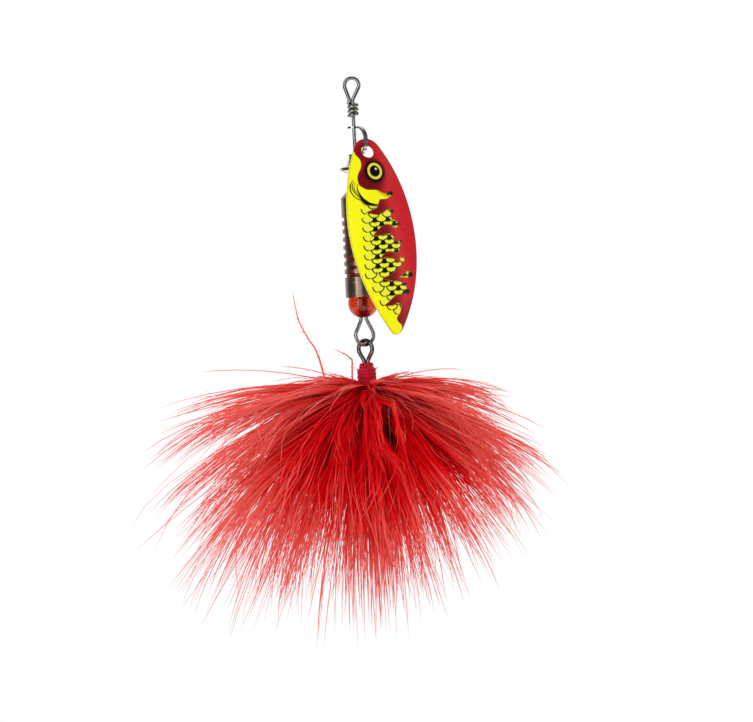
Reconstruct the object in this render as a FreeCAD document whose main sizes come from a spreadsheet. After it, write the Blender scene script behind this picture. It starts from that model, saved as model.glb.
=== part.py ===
"""Inline spinner with a feather-dressed treble hook, as a parametric document of separate pieces.

Row frame, millimetres: +Z runs up the wire shaft, the origin is the centre of the line eye's round part, and
-Y is the front, which the painted side of the blade faces. The lure hangs from its eye.
"""

import FreeCAD
import Part
import Sketcher

import math
import os
import re

Vector = FreeCAD.Vector
Rotation = FreeCAD.Rotation
Placement = FreeCAD.Placement
UP = Vector(0, 0, 1)
SHEET = "sizes"
LOOP_SIDES = 6
CORNERS_PER_TURN = 8

# ---------------------------------------------------------------- driving dimensions, mm and degrees

SIZES = {
    # wire shaft
    "wire_dia": 0.75,
    "line_eye_radius": 1.4,
    "line_eye_drop": 2.95,
    "wrap_turns": 3.25,
    "wrap_pitch": 0.85,
    "wrap_gap": 0.04,
    "tag_gap": 0.2,
    "tag_length": 3.6,
    "shaft_step": 2.4,
    "shaft_bend": 4.0,
    "lower_loop_radius": 1.92,
    "lower_loop_drop": 3.55,
    "lower_loop_turn": 25.0,
    # running clearances
    "free_play": 1.78,
    "seat_gap": 0.05,
    "running_gap": 0.08,
    "tag_bore_gap": 0.14,
    "link_gap": 0.08,
    "link_play": 0.42,
    # clevis
    "clevis_span": 5.5,
    "clevis_reach": 3.58,
    "clevis_strip": 0.35,
    "clevis_width": 0.8,
    "clevis_ear_radius": 1.4,
    "clevis_upper_bend": 2.4,
    "clevis_lower_bend": 2.4,
    "clevis_turn": -52.0,
    # bearing, spacer bead
    "bearing_neck_radius": 1.35,
    "bearing_rim_radius": 3.25,
    "bearing_rim_height": 0.55,
    "bearing_flare_height": 2.2,
    "bearing_cone_height": 0.75,
    "bearing_foot_radius": 1.5,
    "spacer_radius": 1.95,
    "spacer_nest": 0.6,
    # body
    "body_radius": 3.35,
    "body_chamfer": 1.35,
    "upper_collar": 3.9,
    "rib_count": 7,
    "rib_height": 0.9,
    "rib_pitch": 1.6,
    "groove_depth": 0.38,
    "lower_collar": 4.0,
    "socket_gap": 0.14,
    # glass bead
    "bead_radius": 3.0,
    "bead_nest": 1.7,
    # blade
    "blade_length": 39.7,
    "blade_thick": 0.6,
    "blade_cap_radius": 2.75,
    "blade_side_radius": 37.2,
    "blade_tip_radius": 1.25,
    "blade_hole_radius": 1.3,
    "blade_hole_inset": 2.7,
    "blade_bow_radius": 85.0,
    "blade_cross_radius": 17.0,
    "blade_edge_round": 0.15,
    "blade_blank_depth": 24.0,
    "blade_hang": 0.5,
    "blade_link_round": 38.0,
    "blade_turn": 22.0,
    "blade_lean": 10.5,
    "blade_roll": 2.7,
    # treble hook
    "hook_wire": 0.86,
    "hook_braze_gap": 0.02,
    "hook_eye_radius": 1.67,
    "hook_eye_drop": 2.8,
    "hook_neck_bend": 1.6,
    "hook_shank": 24.5,
    "hook_gape": 9.9,
    "hook_point_rise": 6.5,
    "hook_taper": 2.6,
    "hook_barb": 0.95,
    "hook_tip_radius": 0.04,
    "hook_turn": 172.8,
    # thread and plumes
    "thread_height": 4.5,
    "thread_neck_wall": 0.46,
    "thread_neck_height": 0.95,
    "thread_wall": 1.04,
    "thread_foot_wall": 0.89,
    "thread_round": 0.2,
    "thread_gap": 0.03,
    "plume_root": 0.34,
    "plume_seat_gap": 0.06,
    "plume_widest": 0.55,
    "plume_thick": 0.7,
    "plume_tip": 1.2,
}

# label: (heading about +Z from +X, lean out from straight down, length, half width at the widest)
PLUMES = {
    "plume_right_front": (-38.0, 42.0, 47.0, 3.8),
    "plume_right": (-4.0, 62.0, 46.0, 4.4),
    "plume_right_back": (29.0, 47.0, 46.0, 3.6),
    "plume_back": (84.0, 23.0, 49.0, 3.0),
    "plume_back_left": (116.0, 41.0, 48.0, 3.8),
    "plume_left_back": (147.0, 58.0, 46.0, 3.8),
    "plume_left_front": (203.0, 61.0, 47.0, 4.4),
    "plume_front_left": (236.0, 41.0, 48.0, 3.8),
    "plume_front": (266.0, 18.0, 54.0, 3.0),
}
HOOK_SPACING = 120.0  # degrees between the three hooks

# sizes worked out from the ones above; every height is a drop below the line eye's centre
WORKED_OUT = {
    "shaft_bore": "wire_dia / 2 + running_gap",
    "tag_bore": "wire_dia + tag_gap / 2 + tag_bore_gap",
    "tag_offset": "wire_dia / 2 + tag_gap / 2",
    "upper_ear": "line_eye_drop + wrap_turns * wrap_pitch + wire_dia + free_play + clevis_strip / 2",
    "lower_ear": "upper_ear + clevis_span",
    "bearing_top": "lower_ear + clevis_strip / 2 + seat_gap",
    "bearing_height": "bearing_flare_height + bearing_rim_height + bearing_cone_height",
    "spacer_half": "sqrt(spacer_radius ^ 2 - shaft_bore ^ 2)",
    "spacer_centre": "bearing_top + bearing_height + seat_gap + spacer_half",
    "body_top": "spacer_centre + spacer_half + seat_gap - spacer_nest",
    "body_length": "body_chamfer + upper_collar + (rib_count + 1) * rib_pitch - rib_height + lower_collar",
    "socket_floor": "body_top + body_length - bead_nest",
    "bead_half": "sqrt(bead_radius ^ 2 - tag_bore ^ 2)",
    "bead_centre": "socket_floor + seat_gap + bead_half",
    "bead_foot": "bead_centre + bead_half",
    "socket_radius": "sqrt(bead_radius ^ 2 - (bead_half - bead_nest + seat_gap) ^ 2) + socket_gap",
    "recess_radius": "sqrt(spacer_radius ^ 2 - (spacer_half - spacer_nest + seat_gap) ^ 2) + socket_gap",
    "loop_centre": "bead_foot + lower_loop_drop",
    "hook_eye_top": "loop_centre + lower_loop_radius - wire_dia / 2 - link_gap - hook_wire / 2",
    "hook_eye_centre": "hook_eye_top + hook_eye_radius",
    "thread_top": "hook_eye_centre + hook_eye_drop",
    "thread_foot": "thread_top + thread_height",
    "wire_spread": "(hook_wire + hook_braze_gap) / sqrt(3)",
    "hook_bend": "(hook_gape - wire_spread) / 2",
    "hook_bend_top": "hook_eye_top + hook_shank - hook_wire - hook_bend",
    "thread_bore": "wire_spread + hook_wire / 2 + thread_gap",
    "link_side": "blade_hole_radius - clevis_width / 2 - link_play",
}

doc = FreeCAD.newDocument("inline_spinner")
sheet = doc.addObject("Spreadsheet::Sheet", SHEET)
for row, (alias, value) in enumerate((SIZES | WORKED_OUT).items(), start=1):
    sheet.set(f"A{row}", alias)
    sheet.set(f"B{row}", f"={value}" if alias in WORKED_OUT else str(value))
    sheet.setAlias(f"B{row}", alias)
    doc.recompute()


def named(expression):
    """The expression with the sheet's name put before each of its aliases."""
    known = SIZES | WORKED_OUT
    return re.sub(r"[a-z]\w*", lambda word: f"{SHEET}.{word[0]}" if word[0] in known else word[0], expression)


def size(expression):
    """The number that an expression of sheet aliases comes to."""
    got = sheet.evalExpression(named(expression))
    return float(getattr(got, "Value", got))


# ---------------------------------------------------------------- helpers


def body(label, drop=None, turn=0.0):
    """An empty PartDesign body, hung at a drop below the line eye and turned about the shaft."""
    made = doc.addObject("PartDesign::Body", label)
    made.Label = label
    made.Placement = Placement(Vector(), Rotation(UP, turn))
    if drop:
        made.setExpression(".Placement.Base.z", f"-1 * {named(drop)}")
    return made


def origin_plane(owner, role):
    return next(o for o in owner.Origin.OriginFeatures if o.Role == role)


def sketch(owner, name, role="XZ_Plane", lift=None):
    """A sketch on one of its own body's origin planes, lifted off it if asked."""
    made = owner.newObject("Sketcher::SketchObject", name)
    made.AttachmentSupport = (origin_plane(owner, role), [""])
    made.MapMode = "FlatFace"
    if lift:
        made.setExpression(".AttachmentOffset.Base.z", named(lift))
    return made


def bound(owner, kind, *where, to):
    """A dimension in a sketch, set to an expression of the sheet."""
    number = owner.addConstraint(Sketcher.Constraint(kind, *where, size(to)))
    owner.setExpression(f"Constraints[{number}]", named(to))


def pin_point(owner, geometry, end, across, along):
    """Dimensions one point of a sketch from its origin, each bound to the sheet."""
    bound(owner, "DistanceX", -1, 1, geometry, end, to=across)
    bound(owner, "DistanceY", -1, 1, geometry, end, to=along)


def outline(owner, corners):
    """A closed run of straight lines through corners given as pairs of expressions."""
    points = [Vector(size(across), size(along), 0) for across, along in corners]
    for index, point in enumerate(points):
        owner.addGeometry(Part.LineSegment(point, points[(index + 1) % len(points)]), False)
    for index, (across, along) in enumerate(corners):
        following = (index + 1) % len(corners)
        owner.addConstraint(Sketcher.Constraint("Coincident", index, 2, following, 1))
        pin_point(owner, index, 1, across, along)


def circle(owner, across, along, radius):
    """A circle dimensioned from the sketch's origin."""
    centre = Vector(size(across), size(along), 0)
    which = owner.addGeometry(Part.Circle(centre, UP, size(radius)), False)
    pin_point(owner, which, 3, across, along)
    bound(owner, "Radius", which, to=radius)


def turned(owner, kind, profile, name):
    """A Revolution or a Groove of a profile, all the way round its own upright axis."""
    made = owner.newObject(f"PartDesign::{kind}", name)
    made.Profile = profile
    made.ReferenceAxis = (profile, ["V_Axis"])
    made.Angle = 360
    doc.recompute()
    return made


def rounded_path(points, radii):
    """Straight runs through points, with a tangent arc of the given radius at each inner corner."""
    edges = []
    start = points[0]
    for before, corner, after, radius in zip(points, points[1:], points[2:], radii):
        inward = (before - corner).normalize()
        outward = (after - corner).normalize()
        half_turn = (math.pi - inward.getAngle(outward)) / 2
        reach = radius * math.tan(half_turn)
        first = corner + inward * reach
        last = corner + outward * reach
        middle = corner + (inward + outward).normalize() * (radius / math.cos(half_turn) - radius)
        if (first - start).Length > 1e-6:
            edges.append(Part.makeLine(start, first))
        edges.append(Part.Arc(first, middle, last).toShape())
        start = last
    edges.append(Part.makeLine(start, points[-1]))
    return Part.Wire(edges)


def swept_wire(path, diameter):
    """A round wire of constant diameter along a path."""
    start = path.OrderedEdges[0]
    at = start.valueAt(start.FirstParameter)
    along = start.tangentAt(start.FirstParameter)
    section = Part.Wire([Part.makeCircle(diameter / 2, at, along)])
    solid = path.makePipeShell([section], True, False)
    expected = math.pi * diameter**2 / 4 * path.Length
    if abs(solid.Volume - expected) > 0.02 * expected:
        raise ValueError(f"swept wire holds {solid.Volume:.3f} and not {expected:.3f}")
    return solid


def leg_corner(radius, drop, half_gap, bend):
    """Where the legs of a teardrop loop turn parallel: their corner's drop from its centre, and their slope.

    The bend ends at the given drop, so its corner lies nearer the loop by the bend's own reach.
    """
    corner = drop
    for _ in range(20):
        slope = math.asin(radius / math.hypot(half_gap, corner)) - math.atan2(half_gap, corner)
        corner = drop - bend * math.tan(slope / 2)
    return corner, slope


def feature(label, shape):
    made = doc.addObject("Part::Feature", label)
    made.Label = label
    made.Shape = shape
    return made


def heading(degrees):
    """The level direction at an angle about +Z from +X."""
    return Vector(math.cos(math.radians(degrees)), math.sin(math.radians(degrees)), 0)


# ---------------------------------------------------------------- wire shaft


def wire_shaft():
    """One wire: tag end wrapped round the shaft, line eye, straight shaft, lower loop and its tag end."""
    radius = size("line_eye_radius")
    drop = size("line_eye_drop")
    wrap_radius = size("wire_dia + wrap_gap")
    slope = math.asin(radius / drop)
    points, radii = [], []

    # the wraps, from their free end up to the front of the shaft
    steps = round(size("wrap_turns") * CORNERS_PER_TURN)
    corner_radius = wrap_radius / math.cos(math.pi / CORNERS_PER_TURN)
    wrap_top = -drop - size("wire_dia / 2")
    for step in range(steps, 0, -1):
        angle = math.radians(-90.0) - 2 * math.pi * step / CORNERS_PER_TURN
        height = wrap_top - size("wrap_pitch") * step / CORNERS_PER_TURN
        level = Vector(math.cos(angle), math.sin(angle), 0) * corner_radius
        points.append(level + Vector(0, 0, height))
        radii.append(wrap_radius * 0.98)
    radii[-1] = wrap_radius * 0.7

    # up the far leg, over the eye and down the near leg into the shaft
    points.append(Vector(-size("wire_dia") * 0.9, -wrap_radius * 0.75, wrap_top + size("wire_dia") * 0.8))
    radii.append(size("wire_dia"))
    span = math.pi + 2 * slope
    for side in range(LOOP_SIDES):
        angle = math.pi + slope - span * (side + 0.5) / LOOP_SIDES
        reach = radius / math.cos(span / LOOP_SIDES / 2)
        points.append(Vector(math.cos(angle), 0, math.sin(angle)) * reach)
        radii.append(radius * 0.99)
    points.append(Vector(0, 0, -drop))
    radii.append(size("wire_dia") * 1.6)

    # down the shaft; it steps off centre above the bead, where the tag end comes back up beside it
    turn = size("lower_loop_turn")
    aside = heading(turn + 180.0)
    offset = size("tag_offset")
    tag_top = size("socket_floor - tag_length")
    points += [Vector(0, 0, -tag_top + size("shaft_step")), aside * offset + Vector(0, 0, -tag_top)]
    radii += [size("shaft_bend")] * 2

    # the lower loop, from one leg to the other
    loop_radius = size("lower_loop_radius")
    centre = Vector(0, 0, -size("loop_centre"))
    neck_bend = size("wire_dia") * 1.3
    corner, spread = leg_corner(loop_radius, size("lower_loop_drop"), offset, neck_bend)
    neck = centre + UP * corner
    points.append(aside * offset + neck)
    radii.append(neck_bend)
    span = math.pi + 2 * spread
    for side in range(LOOP_SIDES):
        angle = math.pi - spread + span * (side + 0.5) / LOOP_SIDES
        out = loop_radius / math.cos(span / LOOP_SIDES / 2)
        points.append(centre + heading(turn) * (math.cos(angle) * out) + UP * (math.sin(angle) * out))
        radii.append(loop_radius * 0.99)
    points.append(aside * -offset + neck)
    radii.append(neck_bend)
    points.append(aside * -offset + Vector(0, 0, -tag_top))
    return feature("wire_shaft", swept_wire(rounded_path(points, radii), size("wire_dia")))


# ---------------------------------------------------------------- clevis


def clevis():
    """A strip bent to a C, with a holed ear at each end on the shaft. Local +X is outward."""
    made = body("clevis", "lower_ear", size("clevis_turn"))
    path = sketch(made, "ClevisPath")
    reach, span = size("clevis_reach"), size("clevis_span")
    upper, lower = size("clevis_upper_bend"), size("clevis_lower_bend")
    lines = [
        Part.LineSegment(Vector(0, span, 0), Vector(reach - upper, span, 0)),
        Part.LineSegment(Vector(reach, span - upper, 0), Vector(reach, lower, 0)),
        Part.LineSegment(Vector(reach - lower, 0, 0), Vector(0, 0, 0)),
    ]
    top, side, foot = (path.addGeometry(line, False) for line in lines)
    quarter = math.pi / 2
    upper_arc = Part.ArcOfCircle(Part.Circle(Vector(reach - upper, span - upper, 0), UP, upper), 0, quarter)
    lower_arc = Part.ArcOfCircle(Part.Circle(Vector(reach - lower, lower, 0), UP, lower), -quarter, 0)
    bend_top = path.addGeometry(upper_arc, False)
    bend_foot = path.addGeometry(lower_arc, False)
    for first, end, second, other in (
        (top, 2, bend_top, 2),
        (bend_top, 1, side, 1),
        (side, 2, bend_foot, 2),
        (bend_foot, 1, foot, 1),
    ):
        path.addConstraint(Sketcher.Constraint("Tangent", first, end, second, other))
    path.addConstraint(Sketcher.Constraint("Horizontal", top))
    path.addConstraint(Sketcher.Constraint("Horizontal", foot))
    path.addConstraint(Sketcher.Constraint("Vertical", side))
    for arc, alias in ((bend_top, "clevis_upper_bend"), (bend_foot, "clevis_lower_bend")):
        bound(path, "Radius", arc, to=alias)
    pin_point(path, top, 1, "0", "clevis_span")
    pin_point(path, foot, 2, "0", "0")
    bound(path, "DistanceX", -1, 1, side, 1, to="clevis_reach")

    section = sketch(made, "ClevisSection", "YZ_Plane")
    low, high = "clevis_span - clevis_strip / 2", "clevis_span + clevis_strip / 2"
    left, right = "-1 * clevis_width / 2", "clevis_width / 2"
    outline(section, [(left, low), (right, low), (right, high), (left, high)])
    doc.recompute()
    strip = made.newObject("PartDesign::AdditivePipe", "ClevisStrip")
    strip.Profile = section
    strip.Spine = path
    doc.recompute()

    for name, lift in (("LowerEar", "-1 * clevis_strip / 2"), ("UpperEar", "clevis_span - clevis_strip / 2")):
        disc = sketch(made, name + "Round", "XY_Plane", lift)
        circle(disc, "0", "0", "clevis_ear_radius")
        ear = made.newObject("PartDesign::Pad", name)
        ear.Profile = disc
        ear.setExpression("Length", named("clevis_strip"))
        doc.recompute()
    hole = sketch(made, "EarHoles", "XY_Plane", "-1 * clevis_strip")
    circle(hole, "0", "0", "wire_dia / 2 + running_gap")
    drilled = made.newObject("PartDesign::Pocket", "EarDrilling")
    drilled.Profile = hole
    drilled.Reversed = True
    drilled.setExpression("Length", named("clevis_span + 2 * clevis_strip"))
    doc.recompute()
    return made


# ---------------------------------------------------------------- pieces turned on the shaft


def hub_bearing():
    """The flared bearing: hollow-curved neck, thin rim and a short cone under it."""
    made = body("hub_bearing", "bearing_top")
    profile = sketch(made, "BearingProfile")
    drop_rim = "-1 * bearing_flare_height"
    rim_foot = "-1 * ( bearing_flare_height + bearing_rim_height )"
    foot = "-1 * bearing_height"
    flare = []
    for share_out, share_down in ((0.0, 0.0), (0.06, 0.3), (0.2, 0.62), (0.45, 0.86), (0.72, 0.96)):
        out = f"bearing_neck_radius + {share_out} * ( bearing_rim_radius - bearing_neck_radius )"
        flare.append((out, f"{share_down} * {drop_rim}"))
    corners = [("shaft_bore", "0")] + flare
    corners += [("bearing_rim_radius", drop_rim), ("bearing_rim_radius", rim_foot)]
    corners += [("bearing_foot_radius", foot), ("shaft_bore", foot)]
    outline(profile, corners)
    turned(made, "Revolution", profile, "Turning")
    return made


def ball(label, radius, bore, half, centre):
    """A round bead with a straight bore. Its ends are where the bore breaks out."""
    made = body(label, centre)
    profile = sketch(made, label + "Profile")
    reach, inner, high = size(radius), size(bore), size(half)
    rise = math.atan2(high, inner)
    wall = profile.addGeometry(Part.LineSegment(Vector(inner, high, 0), Vector(inner, -high, 0)), False)
    arc = Part.ArcOfCircle(Part.Circle(Vector(0, 0, 0), UP, reach), -rise, rise)
    round_side = profile.addGeometry(arc, False)
    profile.addConstraint(Sketcher.Constraint("Coincident", wall, 2, round_side, 1))
    profile.addConstraint(Sketcher.Constraint("Coincident", wall, 1, round_side, 2))
    profile.addConstraint(Sketcher.Constraint("Vertical", wall))
    profile.addConstraint(Sketcher.Constraint("Coincident", round_side, 3, -1, 1))
    bound(profile, "Radius", round_side, to=radius)
    bound(profile, "DistanceX", -1, 1, wall, 1, to=bore)
    turned(made, "Revolution", profile, "Turning")
    return made


def spinner_body():
    """The turned body: collars, ribs, shaft bore, seat for the spacer bead and socket for the glass bead."""
    made = body("body", "body_top")
    blank = sketch(made, "BodyProfile")
    foot = "-1 * body_length"
    recess_floor = "-1 * spacer_nest"
    socket_floor = "bead_nest - body_length"
    tag_ceiling = "bead_nest + tag_length + shaft_step + 0.6 - body_length"
    outline(
        blank,
        [
            ("recess_radius", "0"),
            ("body_radius - body_chamfer", "0"),
            ("body_radius", "-1 * body_chamfer"),
            ("body_radius", foot),
            ("socket_radius", foot),
            ("socket_radius", socket_floor),
            ("tag_bore", socket_floor),
            ("tag_bore", tag_ceiling),
            ("shaft_bore", tag_ceiling),
            ("shaft_bore", recess_floor),
            ("recess_radius", recess_floor),
        ],
    )
    turned(made, "Revolution", blank, "Turning")
    slot = sketch(made, "GrooveProfile")
    high = "-1 * ( body_chamfer + upper_collar )"
    low = "-1 * ( body_chamfer + upper_collar + rib_pitch - rib_height )"
    inner, outer = "body_radius - groove_depth", "body_radius + groove_depth"
    outline(slot, [(inner, high), (outer, high), (outer, low), (inner, low)])
    first = turned(made, "Groove", slot, "FirstGroove")
    before = first.Shape.Volume
    pattern = made.newObject("PartDesign::LinearPattern", "Grooves")
    pattern.Originals = [first]
    pattern.Direction = (slot, ["V_Axis"])
    pattern.Reversed = True
    pattern.setExpression("Length", named("rib_count * rib_pitch"))
    pattern.setExpression("Occurrences", named("rib_count + 1"))
    made.Tip = pattern
    doc.recompute()
    if not pattern.Shape.Volume < before:
        raise ValueError("the grooves cut nothing")
    return made


# ---------------------------------------------------------------- blade


def blade():
    """A bowed, dished leaf: a shell between two tori, trimmed by its outline.

    Its local origin is the link point, where the clevis strip passes through its hole.
    """
    aside, hole_height = size("link_side"), -size("blade_hang")
    top = hole_height + size("blade_hole_inset")
    middle = top - size("blade_length") / 2
    cap, tip, side = (size(f"blade_{part}_radius") for part in ("cap", "tip", "side"))
    tip_height = top - size("blade_length") + tip

    # centre of the side arc, from its two tangent neighbours
    gap = hole_height - tip_height
    to_cap, to_tip = side - cap, side - tip
    along = (to_cap**2 - to_tip**2 + gap**2) / (2 * gap)
    out = math.sqrt(to_cap**2 - along**2)
    side_height = hole_height - along

    cutter = body("blade_outline")
    shape = sketch(cutter, "BladeOutline")
    cap_tilt = math.atan2(hole_height - side_height, out)
    tip_tilt = math.atan2(side_height - tip_height, out)
    arcs = [
        (Vector(aside, hole_height, 0), cap, cap_tilt, math.pi - cap_tilt),
        (Vector(aside + out, side_height, 0), side, math.pi - cap_tilt, math.pi + tip_tilt),
        (Vector(aside, tip_height, 0), tip, math.pi + tip_tilt, 2 * math.pi - tip_tilt),
        (Vector(aside - out, side_height, 0), side, -tip_tilt, cap_tilt),
    ]
    for centre, radius, start, end in arcs:
        shape.addGeometry(Part.ArcOfCircle(Part.Circle(centre, UP, radius), start, end), False)
    for first, second in ((0, 1), (1, 2), (2, 3), (3, 0)):
        shape.addConstraint(Sketcher.Constraint("Tangent", first, 2, second, 1))
    for index, alias in ((0, "blade_cap_radius"), (2, "blade_tip_radius"), (1, "blade_side_radius")):
        bound(shape, "Radius", index, to=alias)
    shape.addConstraint(Sketcher.Constraint("Equal", 1, 3))
    pin_point(shape, 0, 3, "link_side", "-1 * blade_hang")
    pin_point(shape, 2, 3, "link_side", "blade_tip_radius + blade_hole_inset - blade_length - blade_hang")
    circle(shape, "link_side", "-1 * blade_hang", "blade_hole_radius")
    doc.recompute()
    plate = cutter.newObject("PartDesign::Pad", "BladeBlank")
    plate.Profile = shape
    plate.Midplane = True
    plate.setExpression("Length", named("blade_blank_depth"))
    doc.recompute()

    bow, cross, thick = size("blade_bow_radius"), size("blade_cross_radius"), size("blade_thick")
    setback = bow - math.sqrt(bow**2 - middle**2)
    front_apex = -(setback + thick / 2)
    level = Rotation(Vector(0, 1, 0), 90)
    tori = []
    for name, shrink in (("BladeFront", "0"), ("BladeBack", "blade_thick")):
        torus = doc.addObject("Part::Torus", name)
        torus.setExpression("Radius1", named("blade_bow_radius - blade_cross_radius"))
        torus.setExpression("Radius2", named(f"blade_cross_radius - {shrink}"))
        torus.Placement = Placement(Vector(aside, front_apex + bow, middle), level)
        tori.append(torus)
    shell = doc.addObject("Part::Cut", "BladeShell")
    shell.Base, shell.Tool = tori
    doc.recompute()
    trimmed = doc.addObject("Part::Common", "BladeTrimmed")
    trimmed.Base, trimmed.Tool = shell, cutter
    doc.recompute()
    # the far side of the torus lies outside the outline's depth, so one solid is left
    made = doc.addObject("Part::Fillet", "blade")
    made.Base = trimmed
    round_edge = size("blade_edge_round")
    made.Edges = [(number, round_edge, round_edge) for number in range(1, len(trimmed.Shape.Edges) + 1)]
    made.Label = "blade"
    faced = Rotation(UP, size("blade_turn"))
    leaned = Rotation(Vector(1, 0, 0), -size("blade_lean"))
    rolled = Rotation(Vector(0, 1, 0), -size("blade_roll"))
    made.Placement = Placement(blade_link(), faced * leaned * rolled)
    return made


def blade_link():
    """Where the clevis strip passes through the blade's hole: part way round the strip's lower bend."""
    lower = size("clevis_lower_bend")
    round_the_bend = math.radians(size("blade_link_round"))
    out = size("clevis_reach") - lower + lower * math.cos(round_the_bend)
    up = lower - lower * math.sin(round_the_bend)
    return heading(size("clevis_turn")) * out + Vector(0, 0, up - size("lower_ear"))


# ---------------------------------------------------------------- treble hook


def hook_axis():
    """Where the axis of the three-wire shank stands: the eye's own plane goes through the lure's axis."""
    return heading(size("hook_turn") + 2 * HOOK_SPACING) * size("wire_spread / 2")


def hook_arm(turn):
    """Corners and radii of one hook from its shank wire to the start of its point's taper."""
    out = heading(turn)
    shank, gape = size("wire_spread"), size("hook_gape")
    bend, bend_top = size("hook_bend"), -size("hook_bend_top")
    axis = hook_axis()
    straight = size("hook_point_rise - hook_taper")
    points = [
        axis + out * shank + UP * (bend_top - bend),
        axis + out * gape + UP * (bend_top - bend),
        axis + out * gape + UP * (bend_top + straight),
    ]
    return points, [bend * 0.999, bend * 0.999]


def hook_point(turn):
    """The tapered point and its barb, on the end of one arm."""
    out = heading(turn)
    radius = size("hook_wire") / 2
    start = hook_arm(turn)[0][-1]
    tip_radius = size("hook_tip_radius")
    point = Part.makeCone(radius, tip_radius, size("hook_taper"), start, UP)
    barb = size("hook_barb")
    root = start - out * radius * 0.5 + UP * barb
    lean = (Vector(0, 0, -1) - out * 0.75).normalize()
    spur = Part.makeCone(radius * 0.55, tip_radius, barb * 1.25, root, lean)
    return [point, spur]


def wire_with_points(path, turns):
    solid = swept_wire(path, size("hook_wire"))
    extras = [piece for turn in turns for piece in hook_point(turn)]
    return solid.fuse(extras).removeSplitter()


def hook_double():
    """One wire: a hook, up the shank, round the eye, down the shank and the second hook."""
    first, second = size("hook_turn"), size("hook_turn") + HOOK_SPACING
    axis = hook_axis()
    spread = size("wire_spread")
    centre = axis - heading(size("hook_turn") + 2 * HOOK_SPACING) * (spread / 2)
    centre = centre + UP * -size("hook_eye_centre")
    across = (heading(second) - heading(first)).normalize()
    half_width = size("( hook_wire + hook_braze_gap ) / 2")
    radius, neck_bend = size("hook_eye_radius"), size("hook_neck_bend")
    corner, slope = leg_corner(radius, size("hook_eye_drop"), half_width, neck_bend)
    neck = centre.z - corner

    points, radii = hook_arm(first)
    points, radii = points[::-1], radii[::-1]
    points.append(axis + heading(first) * spread + UP * neck)
    radii.append(neck_bend)
    span = math.pi + 2 * slope
    for side in range(LOOP_SIDES):
        angle = math.pi + slope - span * (side + 0.5) / LOOP_SIDES
        reach = radius / math.cos(span / LOOP_SIDES / 2)
        points.append(centre + across * (math.cos(angle) * reach) + UP * (math.sin(angle) * reach))
        radii.append(radius * 0.99)
    points.append(axis + heading(second) * spread + UP * neck)
    radii.append(neck_bend)
    far_points, far_radii = hook_arm(second)
    path = rounded_path(points + far_points, radii + far_radii)
    return feature("hook_double", wire_with_points(path, (first, second)))


def hook_single():
    """The third hook, brazed into the groove between the double hook's shanks."""
    turn = size("hook_turn") + 2 * HOOK_SPACING
    top = hook_axis() + heading(turn) * size("wire_spread") + UP * -size("thread_top + hook_wire")
    points, radii = hook_arm(turn)
    return feature("hook_single", wire_with_points(rounded_path([top] + points, radii), (turn,)))


def thread_binding():
    """Tying thread wound round the shank: a sleeve with a narrower neck."""
    made = body("thread_binding", "thread_top")
    axis = hook_axis()
    made.Placement.Base.x, made.Placement.Base.y = axis.x, axis.y
    made.setExpression(".Placement.Base.z", f"-1 * {named('thread_top')}")
    profile = sketch(made, "ThreadProfile")
    outline(
        profile,
        [
            ("thread_bore", "0"),
            ("thread_bore + thread_neck_wall - thread_round", "0"),
            ("thread_bore + thread_neck_wall", "-1 * thread_round"),
            ("thread_bore + thread_neck_wall", "-1 * thread_neck_height"),
            ("thread_bore + thread_wall - thread_round", "-1 * thread_neck_height - thread_round / 2"),
            ("thread_bore + thread_wall", "-1 * thread_neck_height - 3 * thread_round"),
            ("thread_bore + thread_wall", "-0.75 * thread_height"),
            ("thread_bore + thread_foot_wall", "-1 * thread_height"),
            ("thread_bore", "-1 * thread_height"),
        ],
    )
    turned(made, "Revolution", profile, "Turning")
    return made


# ---------------------------------------------------------------- plumes


def plume(label, turn, lean, length, half_width):
    """One plume's plain envelope: a flat spindle that widens from its root under the thread."""
    made = doc.addObject("PartDesign::Body", label)
    made.Label = label
    length_alias, width_alias = f"{length}", f"{half_width}"
    stations = [
        ("0", "plume_root", "plume_root"),
        (f"-1 * plume_widest * {length_alias}", width_alias, "plume_thick"),
        (f"-1 * {length_alias}", "plume_tip", "plume_root"),
    ]
    sections = []
    for number, (height, wide, thick) in enumerate(stations):
        section = sketch(made, f"{label}_section_{number}", "XY_Plane", height)
        long_way, short_way = max(size(wide), size(thick)), min(size(wide), size(thick))
        if long_way - short_way < 1e-9:
            circle(section, "0", "0", wide)
        else:
            oval = Part.Ellipse(Vector(), long_way, short_way)
            section.addGeometry(oval, False)
            section.addConstraint(Sketcher.Constraint("Block", 0))
        sections.append(section)
    doc.recompute()
    loft = made.newObject("PartDesign::AdditiveLoft", f"{label}_loft")
    loft.Profile = sections[0]
    loft.Sections = sections[1:]
    loft.Ruled = True
    doc.recompute()
    out = heading(turn)
    root_ring = size("thread_bore + thread_foot_wall / 2")
    root = hook_axis() + out * root_ring + UP * -size("thread_foot + plume_seat_gap + plume_root")
    flat_to_axis = Rotation(UP, turn - 90.0) * Rotation(Vector(1, 0, 0), lean)
    made.Placement = Placement(root, flat_to_axis)
    return made


# ---------------------------------------------------------------- build and export

pieces = [
    wire_shaft(),
    clevis(),
    blade(),
    hub_bearing(),
    ball("spacer_bead", "spacer_radius", "shaft_bore", "spacer_half", "spacer_centre"),
    spinner_body(),
    ball("glass_bead", "bead_radius", "tag_bore", "bead_half", "bead_centre"),
    hook_double(),
    hook_single(),
    thread_binding(),
]
pieces += [plume(label, *values) for label, values in PLUMES.items()]
doc.recompute()

for item in doc.Objects:
    bad = {"Invalid", "Error"} & set(item.State)
    if bad:
        raise ValueError(f"{item.Label} is {bad}")
for piece in pieces:
    if piece.Shape.isNull() or not piece.Shape.isValid() or not piece.Shape.Solids:
        raise ValueError(f"{piece.Label} has no valid solid")

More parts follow.
